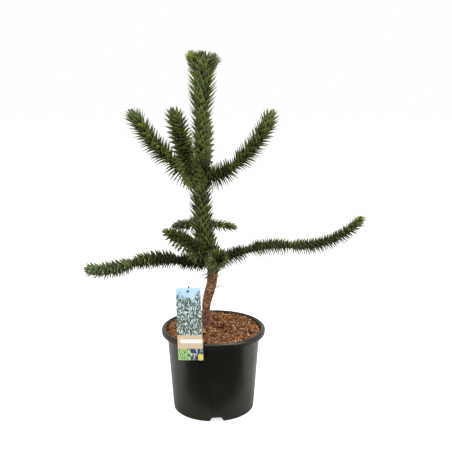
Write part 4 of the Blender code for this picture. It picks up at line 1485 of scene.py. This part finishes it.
    def sprays(self) -> dict[str, Spray]:
        """Grows the leaves of every mass.

        Returns:
            The leaves by the name of the node that they stand for.
        """
        leader, grown = self.leader, {}
        for name, heights, spread, habit, stages in STRETCHES:
            axis = leader.stretch(*heights)
            grown[name] = self.grow(axis, 0.0, axis.length, spread, habit, stages)
        for branch in BRANCHES:
            axis, *twigs = self.axes[branch.name]
            start, stop = leader.width(branch.height) + self.first_leaf, axis.length - branch.habit.short
            parts = [self.grow(axis, start, stop, branch.spread, branch.habit, branch.stages, branch.joints)]
            for twig, spread, stages in zip(twigs, TWIG_SPREADS, TWIG_STAGES):
                parts.append(self.grow(twig, self.twig_first_leaf, twig.length, spread, branch.habit, stages))
            grown[branch.name] = Spray.joined(parts)
        grown["leader_lower"] = Spray.joined([grown["leader_lower"], self.stray()])
        for branch in TOP_SHOOTS:
            axis = self.axes[branch.name][0]
            stop = axis.length * (1.0 if branch.habit is DRY_HABIT else self.top_share)
            start = leader.width(branch.height)
            grown[branch.name] = self.grow(axis, start, stop, branch.spread, branch.habit, branch.stages)
        axis = self.axes["top_centre"][0]
        grown["top_centre"] = self.grow(axis, 0.0, self.tip_stop, (0.027, 0.027), TOP_HABIT, ((0.0, Stage.YOUNG),))
        return {name: self.clear(name if name in self.axes else "trunk", spray) for name, spray in grown.items()}

    def build(self) -> None:
        """Builds every mass's leaves and hands them over."""
        self.dress()
        self.limbs()
        slots = {row["node"]: row["material_slot"] for row in frame["record"]["subparts"]}
        for name, spray in self.sprays().items():
            hand_over(self.mesh(f"leaves_{name}", spray), slots[name], name)


# Wood


@dataclass
class Wood:
    """The trunk's bark and the skins of the branches.

    A plate is a cell's scale in each direction, and the bark lies flatter from one height to the next.
    """

    leader: Leader
    axes: dict[str, list[Axis]]
    trunk_sides: int = 56
    trunk_step: float = 0.0022
    plate: Triple = (165.0, 165.0, 95.0)
    plate_warp: Pair = (90.0, 0.35)
    plate_edge: Pair = (0.02, 0.22)
    crack_depth: float = 0.0014
    swell: float = 0.0009
    ring_scale: Triple = (20.0, 20.0, 230.0)
    flake_scale: float = 420.0
    flake: float = 0.00025
    flatter: Pair = (0.50, 0.46)
    flattest: float = 0.35
    cushion_scale: float = 260.0
    cushion: float = 0.0006
    bare_feet: Pair = (0.046, 0.026)
    bare: float = 0.028
    clasp: float = 0.0042
    clasp_rise: float = 0.02
    clasp_fall: float = 0.03
    branch_sides: int = 12
    branch_step: float = 0.005
    stub_sides: int = 8
    stub_step: float = 0.0015
    stub_points: int = 8
    stub_bend: Pair = (10.0, 18.0)
    stub_radii: Pair = (0.0020, 0.0009)
    sharp: float = 60.0
    stubs: tuple[tuple[float, float, float, float], ...] = (
        (0.4130, -14, 26, 0.0230), (0.3830, -10, 12, 0.0240), (0.3905, 200, 35, 0.0050), (0.3480, -30, 20, 0.0045),
    )

    def skin(self, axis: Axis, sides: int, step: float, relief: Callable[[Vector, float], Pair]) -> Shape:
        """Wraps a grid round an axis as a closed skin.

        Args:
            axis: The axis.
            sides: Sides round it.
            step: The distance between its rings.
            relief: A function of a place on the plain skin and its distance along the axis that gives
                the height there and a mark.

        Returns:
            The skin, with the marks in its crack layer.
        """
        rings = max(4, round(axis.length / step))
        shape = bmesh.new()
        bmesh.ops.create_grid(shape, x_segments=sides, y_segments=rings, size=1.0)
        crack = shape.verts.layers.float.new("crack")
        distances = np.array([(vert.co.y + 1) / 2 * axis.length for vert in shape.verts])
        turns = np.array([(vert.co.x + 1) * math.pi for vert in shape.verts])
        points, runs, ups, radii = axis.at(distances)
        outs = ups * np.cos(turns)[:, None] + np.cross(runs, ups) * np.sin(turns)[:, None]
        for vert, point, out, radius, distance in zip(shape.verts, points, outs, radii, distances):
            plain = Vector(point + out * radius)
            height, mark = relief(plain, distance)
            vert.co = plain + Vector(out) * height
            vert[crack] = mark
        bmesh.ops.remove_doubles(shape, verts=shape.verts, dist=MERGE)
        bmesh.ops.holes_fill(shape, edges=[edge for edge in shape.edges if edge.is_boundary], sides=0)
        bmesh.ops.recalc_face_normals(shape, faces=shape.faces)
        return shape

    def bark(self, place: Vector, distance: float) -> Pair:
        """The bark's height and crack mark: plates that swell between dark cracks.

        Args:
            place: A place on the plain trunk.
            distance: Its distance along the trunk; not used.

        Returns:
            The height above it in metres, and the crack mark from 0 to 1.
        """
        warp = noise.noise_vector(place * self.plate_warp[0]) * self.plate_warp[1]
        near = noise.voronoi(place * Vector(self.plate) + warp)[0]
        edge = smooth_step(near[1] - near[0], *self.plate_edge)
        rings = noise.noise(place * Vector(self.ring_scale))
        height = (edge - 1) * self.crack_depth + edge * self.swell * (0.5 + 0.5 * rings)
        height += noise.noise(place * self.flake_scale) * self.flake
        fade = smooth_step(place.z, *self.flatter)
        return height * (self.flattest + (1 - self.flattest) * fade), 1 - edge

    def twig(self, place: Vector, distance: float) -> Pair:
        """The branches' height, small cushions under the leaves, and a mark on their bare brown feet."""
        return noise.noise(place * self.cushion_scale) * self.cushion, smooth_step(distance, *self.bare_feet)

    def clasped(self, axis: Axis) -> Axis:
        """Counts the leaf bases that clasp a branch in its radii.

        Args:
            axis: The branch's axis.

        Returns:
            The thicker axis.
        """
        swell = np.clip((axis.places - self.bare) / self.clasp_rise, 0, 1) * self.clasp
        fade = np.clip((axis.length - axis.places) / self.clasp_fall, 0, 1)
        return Axis(axis.points, axis.radii + swell * fade)

    def dried(self) -> list[Axis]:
        """Lays out the thin dried stubs on the trunk.

        Returns:
            Their axes.
        """
        axes, count, (turn, lift) = [], self.stub_points, self.stub_bend
        for height, heading, rise, length in self.stubs:
            reach = self.leader.width(height) * 0.8 + length
            ways = [direction(heading + turn * share, rise + lift * share) for share in np.linspace(0, 1, count)]
            points = np.array([self.leader.point(height)] + [way * reach / count for way in ways]).cumsum(axis=0)
            axes.append(Axis(points, np.linspace(*self.stub_radii, len(points))))
        return axes

    def joined(self, axes: list[Axis], sides: int, step: float) -> Shape:
        """Several thin limbs' skins as one mesh.

        Args:
            axes: The limbs' axes.
            sides: Sides round each.
            step: The distance between their rings.

        Returns:
            The skins.
        """
        shape = bmesh.new()
        for axis in axes:
            part = self.skin(axis, sides, step, self.twig)
            mesh = bpy.data.meshes.new("part")
            part.to_mesh(mesh)
            part.free()
            shape.from_mesh(mesh)
            bpy.data.meshes.remove(mesh)
        return shape

    def build(self) -> None:
        """Builds the trunk and the branches' skins and hands them over."""
        axis = self.leader.stretch(self.leader.foot, self.leader.top, self.trunk_step)
        bark = BarkFinish().build()
        trunk, stubs = self.skin(axis, self.trunk_sides, self.trunk_step, self.bark), self.dried()
        hand_over(finished("trunk_bark", trunk, [bark], self.sharp), "flaky_bark", "trunk")
        shape = self.joined(stubs, self.stub_sides, self.stub_step)
        hand_over(finished("dried_stubs", shape, [bark], self.sharp), "flaky_bark", "trunk")
        skin = StemFinish().build()
        for name, axes in self.axes.items():
            if name != "trunk":
                clasped = [self.clasped(axis) for axis in axes]
                shape = self.joined(clasped, self.branch_sides, self.branch_step)
                nodes = [f"bough_{name}"] if f"bough_{name}" in frame["nodes"] else []
                hand_over(finished(f"branch_{name}", shape, [skin], self.sharp), "green_stem", *nodes)


# Pot, soil, label


@dataclass
class Pot:
    """The round pot: its wall, rolled lip, floor, drain channels and holes."""

    height: float = 0.2613
    base_radius: float = 0.1268
    top_radius: float = 0.1446
    wall: float = 0.003
    lip_radius: float = 0.1618
    lip_width: float = 0.0145
    lip_height: float = 0.017
    lip_crown: float = 0.008
    lip_skin: float = 0.0028
    skirt_inset: float = 0.0003
    skirt_rise: float = 0.003
    skirt_round: Pair = (0.0011, 0.0012)
    neck: float = 0.0008
    channels: int = 4
    channel_turn: float = -85.0
    foot_width: float = 0.044
    roof_width: float = 0.028
    channel_height: float = 0.013
    channel_start: float = 0.055
    drain_radius: float = 0.005
    drain_from_centre: float = 0.088
    floor_round: float = 0.004
    foot_round: float = 0.0020
    channel_round: float = 0.003
    steps: int = 144

    def profile(self) -> list[Pair]:
        """Draws the pot's section.

        Returns:
            Its points, from the middle of the inner floor round the lip to the underside's middle.
        """
        centre, shoulder = self.lip_radius - self.lip_width / 2, self.height - self.lip_crown
        foot, inside = self.height - self.lip_height, self.lip_width / 2 - self.lip_skin
        corner = self.base_radius - self.wall - self.floor_round
        line = [(0.0, self.wall), (corner, self.wall)]
        line += arc(corner, self.wall + self.floor_round, self.floor_round, self.floor_round, -90, 0, 4)[1:]
        line += [(self.top_radius - self.wall, foot)]
        line += arc(centre, shoulder, self.lip_width / 2, self.lip_crown, 180, 0, 16)
        skirt, (wide, tall) = self.lip_radius - self.skirt_inset, self.skirt_round
        line += [(skirt, foot + self.skirt_rise)] + arc(skirt - wide, foot + tall, wide, tall, 0, -180, 6)
        line += arc(centre, shoulder, inside, self.lip_crown - self.lip_skin, 0, 180, 8)
        line += [(self.top_radius, foot - self.neck)]
        line += arc(self.base_radius - self.foot_round, self.foot_round, self.foot_round, self.foot_round, 0, -90, 5)
        return line + [(0.0, 0.0)]

    def block(self, margin: float, start: float) -> Shape:
        """One drain channel along +X with its faces moved out by a margin.

        Args:
            margin: How far the faces move out.
            start: Its inner end's distance from the axis.

        Returns:
            The channel's solid, with rounded upper edges.
        """
        bottom, top = -0.002, self.channel_height + margin
        slope = (self.foot_width - self.roof_width) / 2 / self.channel_height
        shape = bmesh.new()
        bmesh.ops.create_cube(shape, size=1.0)
        for vert in shape.verts:
            level = top if vert.co.z > 0 else bottom
            half = self.foot_width / 2 + margin - slope * level
            vert.co = (self.base_radius * 1.15 if vert.co.x > 0 else start, math.copysign(half, vert.co.y), level)
        roof = [edge for edge in shape.edges if all(vert.co.z > 0 for vert in edge.verts)]
        crest = [edge for edge in roof if abs(edge.verts[0].co.y - edge.verts[1].co.y) < MERGE]
        rounded(shape, crest, self.channel_round, 4)
        return shape

    def carve(self, pot: Piece, shape: Shape, operation: str, place: Matrix) -> None:
        """Fuses a solid onto the pot or cuts it out.

        Args:
            pot: The pot.
            shape: The solid, which is freed.
            operation: UNION or DIFFERENCE.
            place: Where it goes.
        """
        bmesh.ops.transform(shape, matrix=place, verts=shape.verts)
        mesh = bpy.data.meshes.new("tool")
        shape.to_mesh(mesh)
        shape.free()
        tool = bpy.data.objects.new("tool", mesh)
        bpy.context.scene.collection.objects.link(tool)
        modifier = pot.modifiers.new("Carve", "BOOLEAN")
        modifier.operation, modifier.solver, modifier.object = operation, "MANIFOLD", tool
        bpy.context.view_layer.update()
        graph = bpy.context.evaluated_depsgraph_get()
        made = bpy.data.meshes.new_from_object(pot.evaluated_get(graph), depsgraph=graph)
        pot.modifiers.clear()
        old, pot.data = pot.data, made
        bpy.data.meshes.remove(old)
        bpy.data.objects.remove(tool)
        bpy.data.meshes.remove(mesh)

    def hump(self) -> Shape:
        """Shapes the raised floor over a channel along +X, kept inside the wall.

        Returns:
            The solid.
        """
        shape = self.block(self.wall, self.channel_start - self.wall)
        reach = self.base_radius - self.wall / 2
        for vert in shape.verts:
            if vert.co.x > reach:
                vert.co.x = math.sqrt(reach**2 - vert.co.y**2)
            vert.co.z = max(vert.co.z, self.wall / 2)
        return shape

    def build(self) -> None:
        """Builds the pot and hands it over."""
        pot = finished("pot", spun(self.profile(), self.steps), [])
        turns = [turned(self.channel_turn + i * 360.0 / self.channels, "Z", 4) for i in range(self.channels)]
        for turn in turns:
            self.carve(pot, self.hump(), "UNION", turn)
        for turn in turns:
            self.carve(pot, self.block(0.0, self.channel_start), "DIFFERENCE", turn)
            drain = bmesh.new()
            add_bar(drain, self.drain_radius, 4 * self.wall, 32)
            middle = Matrix.Translation((self.drain_from_centre, 0, self.channel_height))
            self.carve(pot, drain, "DIFFERENCE", turn @ middle)
        pot.data.name = "pot"
        pot.data.materials.clear()
        pot.data.materials.append(PotFinish().build())
        pot.data.shade_smooth()
        pot.data.set_sharp_from_angle(angle=math.radians(32))
        hand_over(pot, "black_plastic", "nursery_pot")


@dataclass
class Soil:
    """The mound of bark and coir, and the loose crumbs on it.

    A hollow is (x, y, width, depth) and a chip is (x, y, length). The crumbs' lengths follow a lognormal
    law and are held between two limits. Their widths and heights are shares of the length, they stand proud
    by a share of the height, and the odds deal their first four browns.
    """

    pot: Pot
    level: float = 0.2605
    edge: float = 0.2535
    edge_tilt: float = 0.0035
    high_heading: float = 130.0
    crumbs: int = 13000
    lengths: Pair = (-5.66, 0.42)
    length_limits: Pair = (0.0016, 0.013)
    widths: Pair = (0.35, 0.8)
    heights: Pair = (0.15, 0.42)
    ragged: Pair = (0.6, 1.2)
    proud: Pair = (-0.15, 0.45)
    tumble: float = 0.32
    odds: tuple[float, ...] = (0.29, 0.33, 0.25, 0.13)
    clear_of_trunk: float = 0.0155
    clear_of_hollow: Pair = (0.8, 0.85)
    coarse: Pair = (26.0, 0.0022)
    fine: Pair = (130.0, 0.0016)
    foot_hollow: float = 0.0035
    foot_rim: Pair = (0.034, 0.020)
    ring_step: float = 0.004
    ring_count: int = 36
    floor_height: float = 0.0165
    hollows: tuple[tuple[float, float, float, float], ...] = (
        (-0.018, -0.027, 0.0105, 0.0125), (0.0080, 0.001, 0.0110, 0.0165), (0.023, 0.004, 0.0135, 0.0165),
        (0.013, 0.066, 0.0110, 0.0070), (0.036, -0.038, 0.0085, 0.0080), (0.000, -0.075, 0.0075, 0.0080),
    )
    chips: tuple[Triple, ...] = ((0.001, -0.098, 0.0120), (-0.012, -0.106, 0.0070), (0.046, -0.060, 0.0070))
    trunk: Vector = field(default_factory=lambda: Vector((-0.0221, 0.0, 0.259)))

    # crumb_dark colours the dark crumbs and, on the mound, painted shade
    CRUMBS = (
        ("crumb_brown", (0.200, 0.080, 0.032), (0.092, 0.037, 0.016)),
        ("crumb_orange", (0.375, 0.150, 0.052), (0.205, 0.079, 0.028)),
        ("crumb_dark", (0.040, 0.020, 0.012), (0.016, 0.009, 0.006)),
        ("crumb_tan", (0.690, 0.418, 0.217), (0.420, 0.230, 0.110)),
        ("crumb_chip", (0.720, 0.560, 0.360), (0.520, 0.360, 0.200)),
    )

    def inner_radius(self, height: float) -> float:
        """Measures the pot's inside.

        Args:
            height: A height.

        Returns:
            The radius of the inner wall there.
        """
        pot = self.pot
        foot, shoulder = pot.height - pot.lip_height, pot.height - pot.lip_crown
        if height <= foot:
            return between(((0.0, pot.base_radius - pot.wall), (foot, pot.top_radius - pot.wall)), height)
        return between(((foot, pot.top_radius - pot.wall), (shoulder, pot.lip_radius - pot.lip_width)), height)

    def top(self, x: float, y: float) -> float:
        """Measures the soil's uneven top.

        Args:
            x: The place across.
            y: The place in depth.

        Returns:
            The soil's level there.
        """
        share = math.hypot(x, y) / self.inner_radius(self.edge)
        heading = math.atan2(y, x) - math.radians(self.high_heading)
        edge = self.edge + self.edge_tilt * math.cos(heading)
        level = self.level + (edge - self.level) * share**2
        coarse = noise.noise(Vector((x * self.coarse[0], y * self.coarse[0], SEED))) * self.coarse[1]
        fine = noise.noise(Vector((x * self.fine[0], y * self.fine[0], 3.0))) * self.fine[1]
        foot = smooth_step(math.hypot(x - self.trunk.x, y - self.trunk.y), *self.foot_rim)
        hollow = -self.foot_hollow * foot * (0.6 + 0.8 * noise.noise(Vector((x * 60, y * 60, 9.0))))
        dug = sum(
            deep * math.exp(-((x - at_x) ** 2 + (y - at_y) ** 2) / wide**2) for at_x, at_y, wide, deep in self.hollows
        )
        return level + coarse + fine + hollow - dug

    def mound(self) -> Shape:
        """Shapes the soil's body, a spun plug with an uneven top.

        Returns:
            The plug.
        """
        foot, floor = self.pot.height - self.pot.lip_height, self.pot.wall + self.floor_height
        radii = [i * self.ring_step for i in range(self.ring_count)]
        profile = [(radius, self.level) for radius in radii]
        profile += [(self.inner_radius(self.edge) - 0.0004, self.edge)]
        profile += [(self.inner_radius(foot) - 0.0004, foot - 0.004)]
        profile += [(self.inner_radius(floor) - 0.0008, floor), (0.0, floor)]
        shape = spun(profile, 120)
        for vert in shape.verts:
            if vert.co.z > foot:
                top = self.top(vert.co.x, vert.co.y)
                if vert.co.xy.length > radii[-1] + MERGE:
                    top = min(top, self.pot.height - self.pot.lip_crown)
                    vert.co.xy *= (self.inner_radius(top) - 0.0006) / vert.co.xy.length
                vert.co.z = top
        return shape

    def taken(self, x: float, y: float) -> bool:
        """Says whether a place stays free of crumbs.

        Args:
            x: The place across.
            y: The place in depth.

        Returns:
            True outside the pot, at the trunk's foot and in a hollow.
        """
        if math.hypot(x, y) > self.limit or math.hypot(x - self.trunk.x, y - self.trunk.y) < self.clear_of_trunk:
            return True
        # crumbs stay out of the hollows so the mound's painted shade shows there
        deep, share = self.clear_of_hollow
        return any(math.hypot(x - at_x, (y - at_y) * deep) < wide * share for at_x, at_y, wide, _ in self.hollows)

    @property
    def limit(self) -> float:
        """How far from the pot's middle crumbs lie."""
        return self.inner_radius(self.edge) - 0.004

    def scatter(self, materials: list[Material]) -> Piece:
        """Strews the crumbs over the mound as one piece; the first few are large pale chips.

        Args:
            materials: The crumbs' browns.

        Returns:
            The piece.
        """
        chance = np.random.default_rng(SEED + 1)
        block = bmesh.new()
        bmesh.ops.create_cube(block, size=1.0)
        form, corners, starts = laid_out(block)
        block.free()
        points, dealt = [], []
        while len(points) < self.crumbs:
            x, y = chance.uniform(-self.limit, self.limit, 2)
            if self.taken(x, y):
                continue
            length = float(np.clip(chance.lognormal(*self.lengths), *self.length_limits))
            chip = len(points) < len(self.chips)
            if chip:
                x, y, length = self.chips[len(points)]
            size = np.array([length, length * chance.uniform(*self.widths), length * chance.uniform(*self.heights)])
            body = form * size * chance.uniform(*self.ragged, form.shape)
            turn = Matrix.Rotation(chance.uniform(0, 2 * math.pi), 3, "Z")
            pitch, roll = (Matrix.Rotation(chance.normal(0, self.tumble), 3, axis) for axis in "XY")
            body = body @ np.array(turn @ pitch @ roll).T
            points.append(body + np.array([x, y, self.top(x, y) + size[2] * chance.uniform(*self.proud)]))
            dealt.append(4 if chip else chance.choice(4, p=self.odds))
        slots = np.repeat(np.array(dealt)[:, None], len(starts), axis=1)
        return placed("soil_crumbs", repeated("soil_crumbs", np.array(points), corners, starts, slots), materials, 30.0)

    def build(self) -> None:
        """Builds the mound and the crumbs and hands them over."""
        materials = [CrumbFinish(*row).build() for row in self.CRUMBS]
        mound = finished("soil_mound", self.mound(), [materials[0], materials[2]], 60.0)
        # painted shade: mound faces in the hollows and down by the wall take crumb_dark
        for face in mound.data.polygons:
            x, y, z = face.center
            shaded_pits = (math.hypot(x - at_x, y - at_y) < wide for at_x, at_y, wide, _ in self.hollows)
            face.material_index = 1 if any(shaded_pits) or z < self.edge - 0.004 else 0
        hand_over(mound, "bark_soil", "potting_soil")
        hand_over(self.scatter(materials), "bark_soil", "potting_soil")


@dataclass
class Label:
    """The card that hangs over the lip, and the rod and peg that hold it."""

    pot: Pot
    width: float = 0.077
    tall: float = 0.213
    thickness: float = 0.0012
    corner: float = 0.003
    turn: float = -15.0
    lean: float = -10.0
    roll: float = -5.0
    centre_x: float = -0.066
    below_lip: float = 0.0418
    hole_down: float = 0.010
    hole_radius: float = 0.0026
    rod_radius: float = 0.0030
    setback: float = 0.0052
    proud: float = 0.0035
    inset: float = 0.014
    sunk_to: float = 0.1535
    peg_radius: float = 0.0020
    peg_proud: float = 0.0016
    head_radius: float = 0.0036
    head_flatness: float = 0.32
    head_rise: float = 0.0008
    rod_round: float = 0.0008

    def place(self) -> Matrix:
        """Works out the card's frame.

        Returns:
            The frame, on its centreline at the lip, with its back a gap clear of the lip.
        """
        spin = turned(self.turn, "Z") @ turned(self.lean, "X") @ turned(self.roll, "Y")
        front = spin @ Vector((0, -1, 0))
        support = max(front.dot(vert.co) for vert in frame["nodes"]["nursery_pot"].data.vertices)
        height = self.pot.height - self.pot.lip_crown
        flat = support + GAP + self.thickness / 2 - front.x * self.centre_x - front.z * height
        return Matrix.Translation((self.centre_x, flat / front.y, height)) @ spin.to_4x4()

    def card(self, place: Matrix) -> Piece:
        """The card: round corners, a hole, and its print laid out on its front.

        Args:
            place: The card's frame.

        Returns:
            The piece.
        """
        shape = bmesh.new()
        bmesh.ops.create_circle(shape, cap_ends=False, segments=24, radius=self.hole_radius)
        hole_height = self.tall - self.below_lip - self.hole_down
        bmesh.ops.translate(shape, verts=shape.verts, vec=(0, hole_height, 0))
        rim = list(shape.edges)
        low, high, half = -self.below_lip, self.tall - self.below_lip, self.width / 2
        corners = [shape.verts.new((x, y, 0)) for x, y in ((-half, low), (half, low), (half, high), (-half, high))]
        rim += [shape.edges.new((corners[i], corners[(i + 1) % 4])) for i in range(4)]
        bmesh.ops.triangle_fill(shape, use_beauty=True, edges=rim)
        rounded(shape, corners, self.corner, 5, "VERTICES")
        bmesh.ops.rotate(shape, verts=shape.verts, matrix=turned(90, "X"))
        bmesh.ops.recalc_face_normals(shape, faces=shape.faces)
        if next(iter(shape.faces)).normal.y > 0:
            bmesh.ops.reverse_faces(shape, faces=shape.faces)
        bmesh.ops.translate(shape, verts=shape.verts, vec=(0, -self.thickness / 2, 0))
        grown = bmesh.ops.extrude_face_region(shape, geom=list(shape.faces), use_keep_orig=True)["geom"]
        back = [item for item in grown if isinstance(item, bmesh.types.BMVert)]
        bmesh.ops.translate(shape, verts=back, vec=(0, self.thickness, 0))
        bmesh.ops.recalc_face_normals(shape, faces=shape.faces)
        uv = shape.loops.layers.uv.new("print")
        for face in shape.faces:
            face.material_index = 0 if face.normal.y < -0.5 else 1
            for loop in face.loops:
                loop[uv].uv = (loop.vert.co.x / self.width + 0.5, (loop.vert.co.z + self.below_lip) / self.tall)
        bmesh.ops.transform(shape, matrix=place, verts=shape.verts)
        back_finish = PlainFinish("card_back", (0.72, 0.74, 0.70), (0.62, 0.64, 0.60), 0.45).build()
        return finished("label_sheet", shape, [PrintFinish().build(), back_finish], 30.0)

    def rod(self, place: Matrix) -> Piece:
        """The rod behind the card with its peg and the peg's round head.

        Args:
            place: The card's frame.

        Returns:
            The piece.
        """
        front = (place.to_3x3() @ Vector((0, -1, 0))).normalized()
        level = Vector((front.x, front.y, 0)).normalized()
        centre = place @ Vector((0, 0, self.tall - self.below_lip - self.hole_down))
        top = centre - level * (self.thickness / 2 + self.setback)
        top.z += self.hole_down + self.proud
        foot = top - level * self.inset
        foot.z = self.sunk_to
        shape = bmesh.new()
        add_bar(shape, self.rod_radius, (top - foot).length, 24)
        ends = [edge for edge in shape.edges if abs(edge.verts[0].co.z - edge.verts[1].co.z) < MERGE]
        rounded(shape, ends, self.rod_round, 3)
        stand = Matrix.Translation((top + foot) / 2) @ facing((top - foot).normalized())
        bmesh.ops.transform(shape, matrix=stand, verts=shape.verts)
        peg_length = self.setback + self.thickness + 2 * self.peg_proud
        middle = centre + front * (self.thickness / 2 + self.peg_proud - peg_length / 2)
        add_bar(shape, self.peg_radius, peg_length, 20, Matrix.Translation(middle) @ facing(front))
        head = Matrix.Translation(centre + front * (self.thickness / 2 + GAP + self.head_rise)) @ facing(front)
        head = head @ Matrix.Diagonal((1, 1, self.head_flatness, 1))
        bmesh.ops.create_uvsphere(shape, u_segments=20, v_segments=10, radius=self.head_radius, matrix=head)
        bmesh.ops.recalc_face_normals(shape, faces=shape.faces)
        finish = PlainFinish("holder_plastic", (0.010, 0.010, 0.010), (0.020, 0.020, 0.020), 0.4)
        return finished("label_rod", shape, [finish.build()], 40.0)

    def build(self) -> None:
        """Builds the card and its holder and hands them over."""
        place = self.place()
        hand_over(self.card(place), "label_print", "label_card")
        hand_over(self.rod(place), "holder_plastic", "label_holder")


# Studio


@dataclass(frozen=True)
class Lamp:
    """A soft rectangular light: where it hangs, what it points at, its width and height, and its watts."""

    name: str
    place: Triple
    aim: Triple
    size: Pair
    power: float

    def hang(self) -> None:
        """Hangs the light in the scene."""
        lamp = bpy.data.lights.new(self.name, "AREA")
        lamp.shape, lamp.energy = "RECTANGLE", self.power
        lamp.size, lamp.size_y = self.size
        holder = bpy.data.objects.new(self.name, lamp)
        holder.location = self.place
        holder.rotation_euler = (Vector(self.aim) - Vector(self.place)).to_track_quat("-Z", "Y").to_euler()
        bpy.context.scene.collection.objects.link(holder)


@dataclass
class Studio:
    """The pale floor, the soft lights and the camera.

    The sky's brightness rises from the dim to the full between two shares of the way back.
    """

    lens: float = 59.73
    tilt: float = 12.21
    eye: Triple = (0.0393, -2.2333, 1.0655)
    dark_front: Pair = (-0.52, -0.22)
    brightness: Pair = (0.10, 1.0)
    lamps: tuple[Lamp, ...] = (
        Lamp("overhead", (0.0, -0.4, 3.2), (0, 0, 0.5), (2.6, 2.2), 92),
        Lamp("left", (-2.6, -1.5, 1.9), (0, 0, 0.6), (1.4, 2.2), 60),
        Lamp("right", (2.6, -1.5, 1.9), (0, 0, 0.6), (1.4, 2.2), 60),
        Lamp("spark", (0.97, -0.36, 2.6), (0.05, -0.15, 0.26), (0.76, 0.30), 14),
    )

    def floor(self) -> None:
        """A wide pale floor, just under the pot."""
        shape = bmesh.new()
        bmesh.ops.create_grid(shape, x_segments=4, y_segments=4, size=14.0)
        bmesh.ops.translate(shape, verts=shape.verts, vec=(0, 0, -0.0002))
        finished("floor", shape, [FloorFinish().build()])

    def sky(self) -> None:
        """White to the camera; to everything else bright at the sides and above, and dark in front."""
        world = bpy.data.worlds.new("studio")
        world.use_nodes = True
        bpy.context.scene.world = world
        tree = world.node_tree
        tree.nodes.clear()
        kinds = ("OutputWorld", "TexCoord", "SeparateXYZ", "MapRange", "Background", "Background", "LightPath",
                 "MixShader")
        out, place, apart, front, room, plain, path, mix = (tree.nodes.new(f"ShaderNode{kind}") for kind in kinds)
        front.interpolation_type = "SMOOTHSTEP"
        for label, value in zip(("From Min", "From Max", "To Min", "To Max"), self.dark_front + self.brightness):
            front.inputs[label].default_value = value
        plain.inputs["Color"].default_value = (1, 1, 1, 1)
        wire(tree, (place, "Generated", apart, "Vector"), (apart, "Y", front, "Value"),
             (front, "Result", room, "Strength"), (path, "Is Camera Ray", mix, "Fac"),
             (room, "Background", mix, 1), (plain, "Background", mix, 2), (mix, "Shader", out, "Surface"))

    def camera(self) -> None:
        """The camera at the photograph's angle."""
        data = bpy.data.cameras.new("camera")
        data.sensor_width, data.lens = 36.0, self.lens
        camera = bpy.data.objects.new("camera", data)
        camera.location = self.eye
        camera.rotation_euler = (math.radians(90 - self.tilt), 0, 0)
        bpy.context.scene.collection.objects.link(camera)
        bpy.context.scene.camera = camera

    def build(self) -> None:
        """Builds the studio."""
        self.floor()
        self.sky()
        for lamp in self.lamps:
            lamp.hang()
        self.camera()
        bpy.context.scene.view_settings.view_transform = "Standard"
        bpy.context.scene.view_settings.look = "None"


def main() -> None:
    """Builds the plant, the pot, the soil, the label and the studio, and notes their sizes."""
    logging.basicConfig(level=logging.INFO, format="%(name)s %(message)s")
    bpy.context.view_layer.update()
    noise.seed_set(SEED)
    leader = Leader()
    foliage = Foliage(leader)
    foliage.build()
    Wood(leader, foliage.axes).build()
    pot = Pot()
    pot.build()
    Soil(pot).build()
    Label(pot).build()
    Studio().build()


if __name__ == "__main__":
    main()
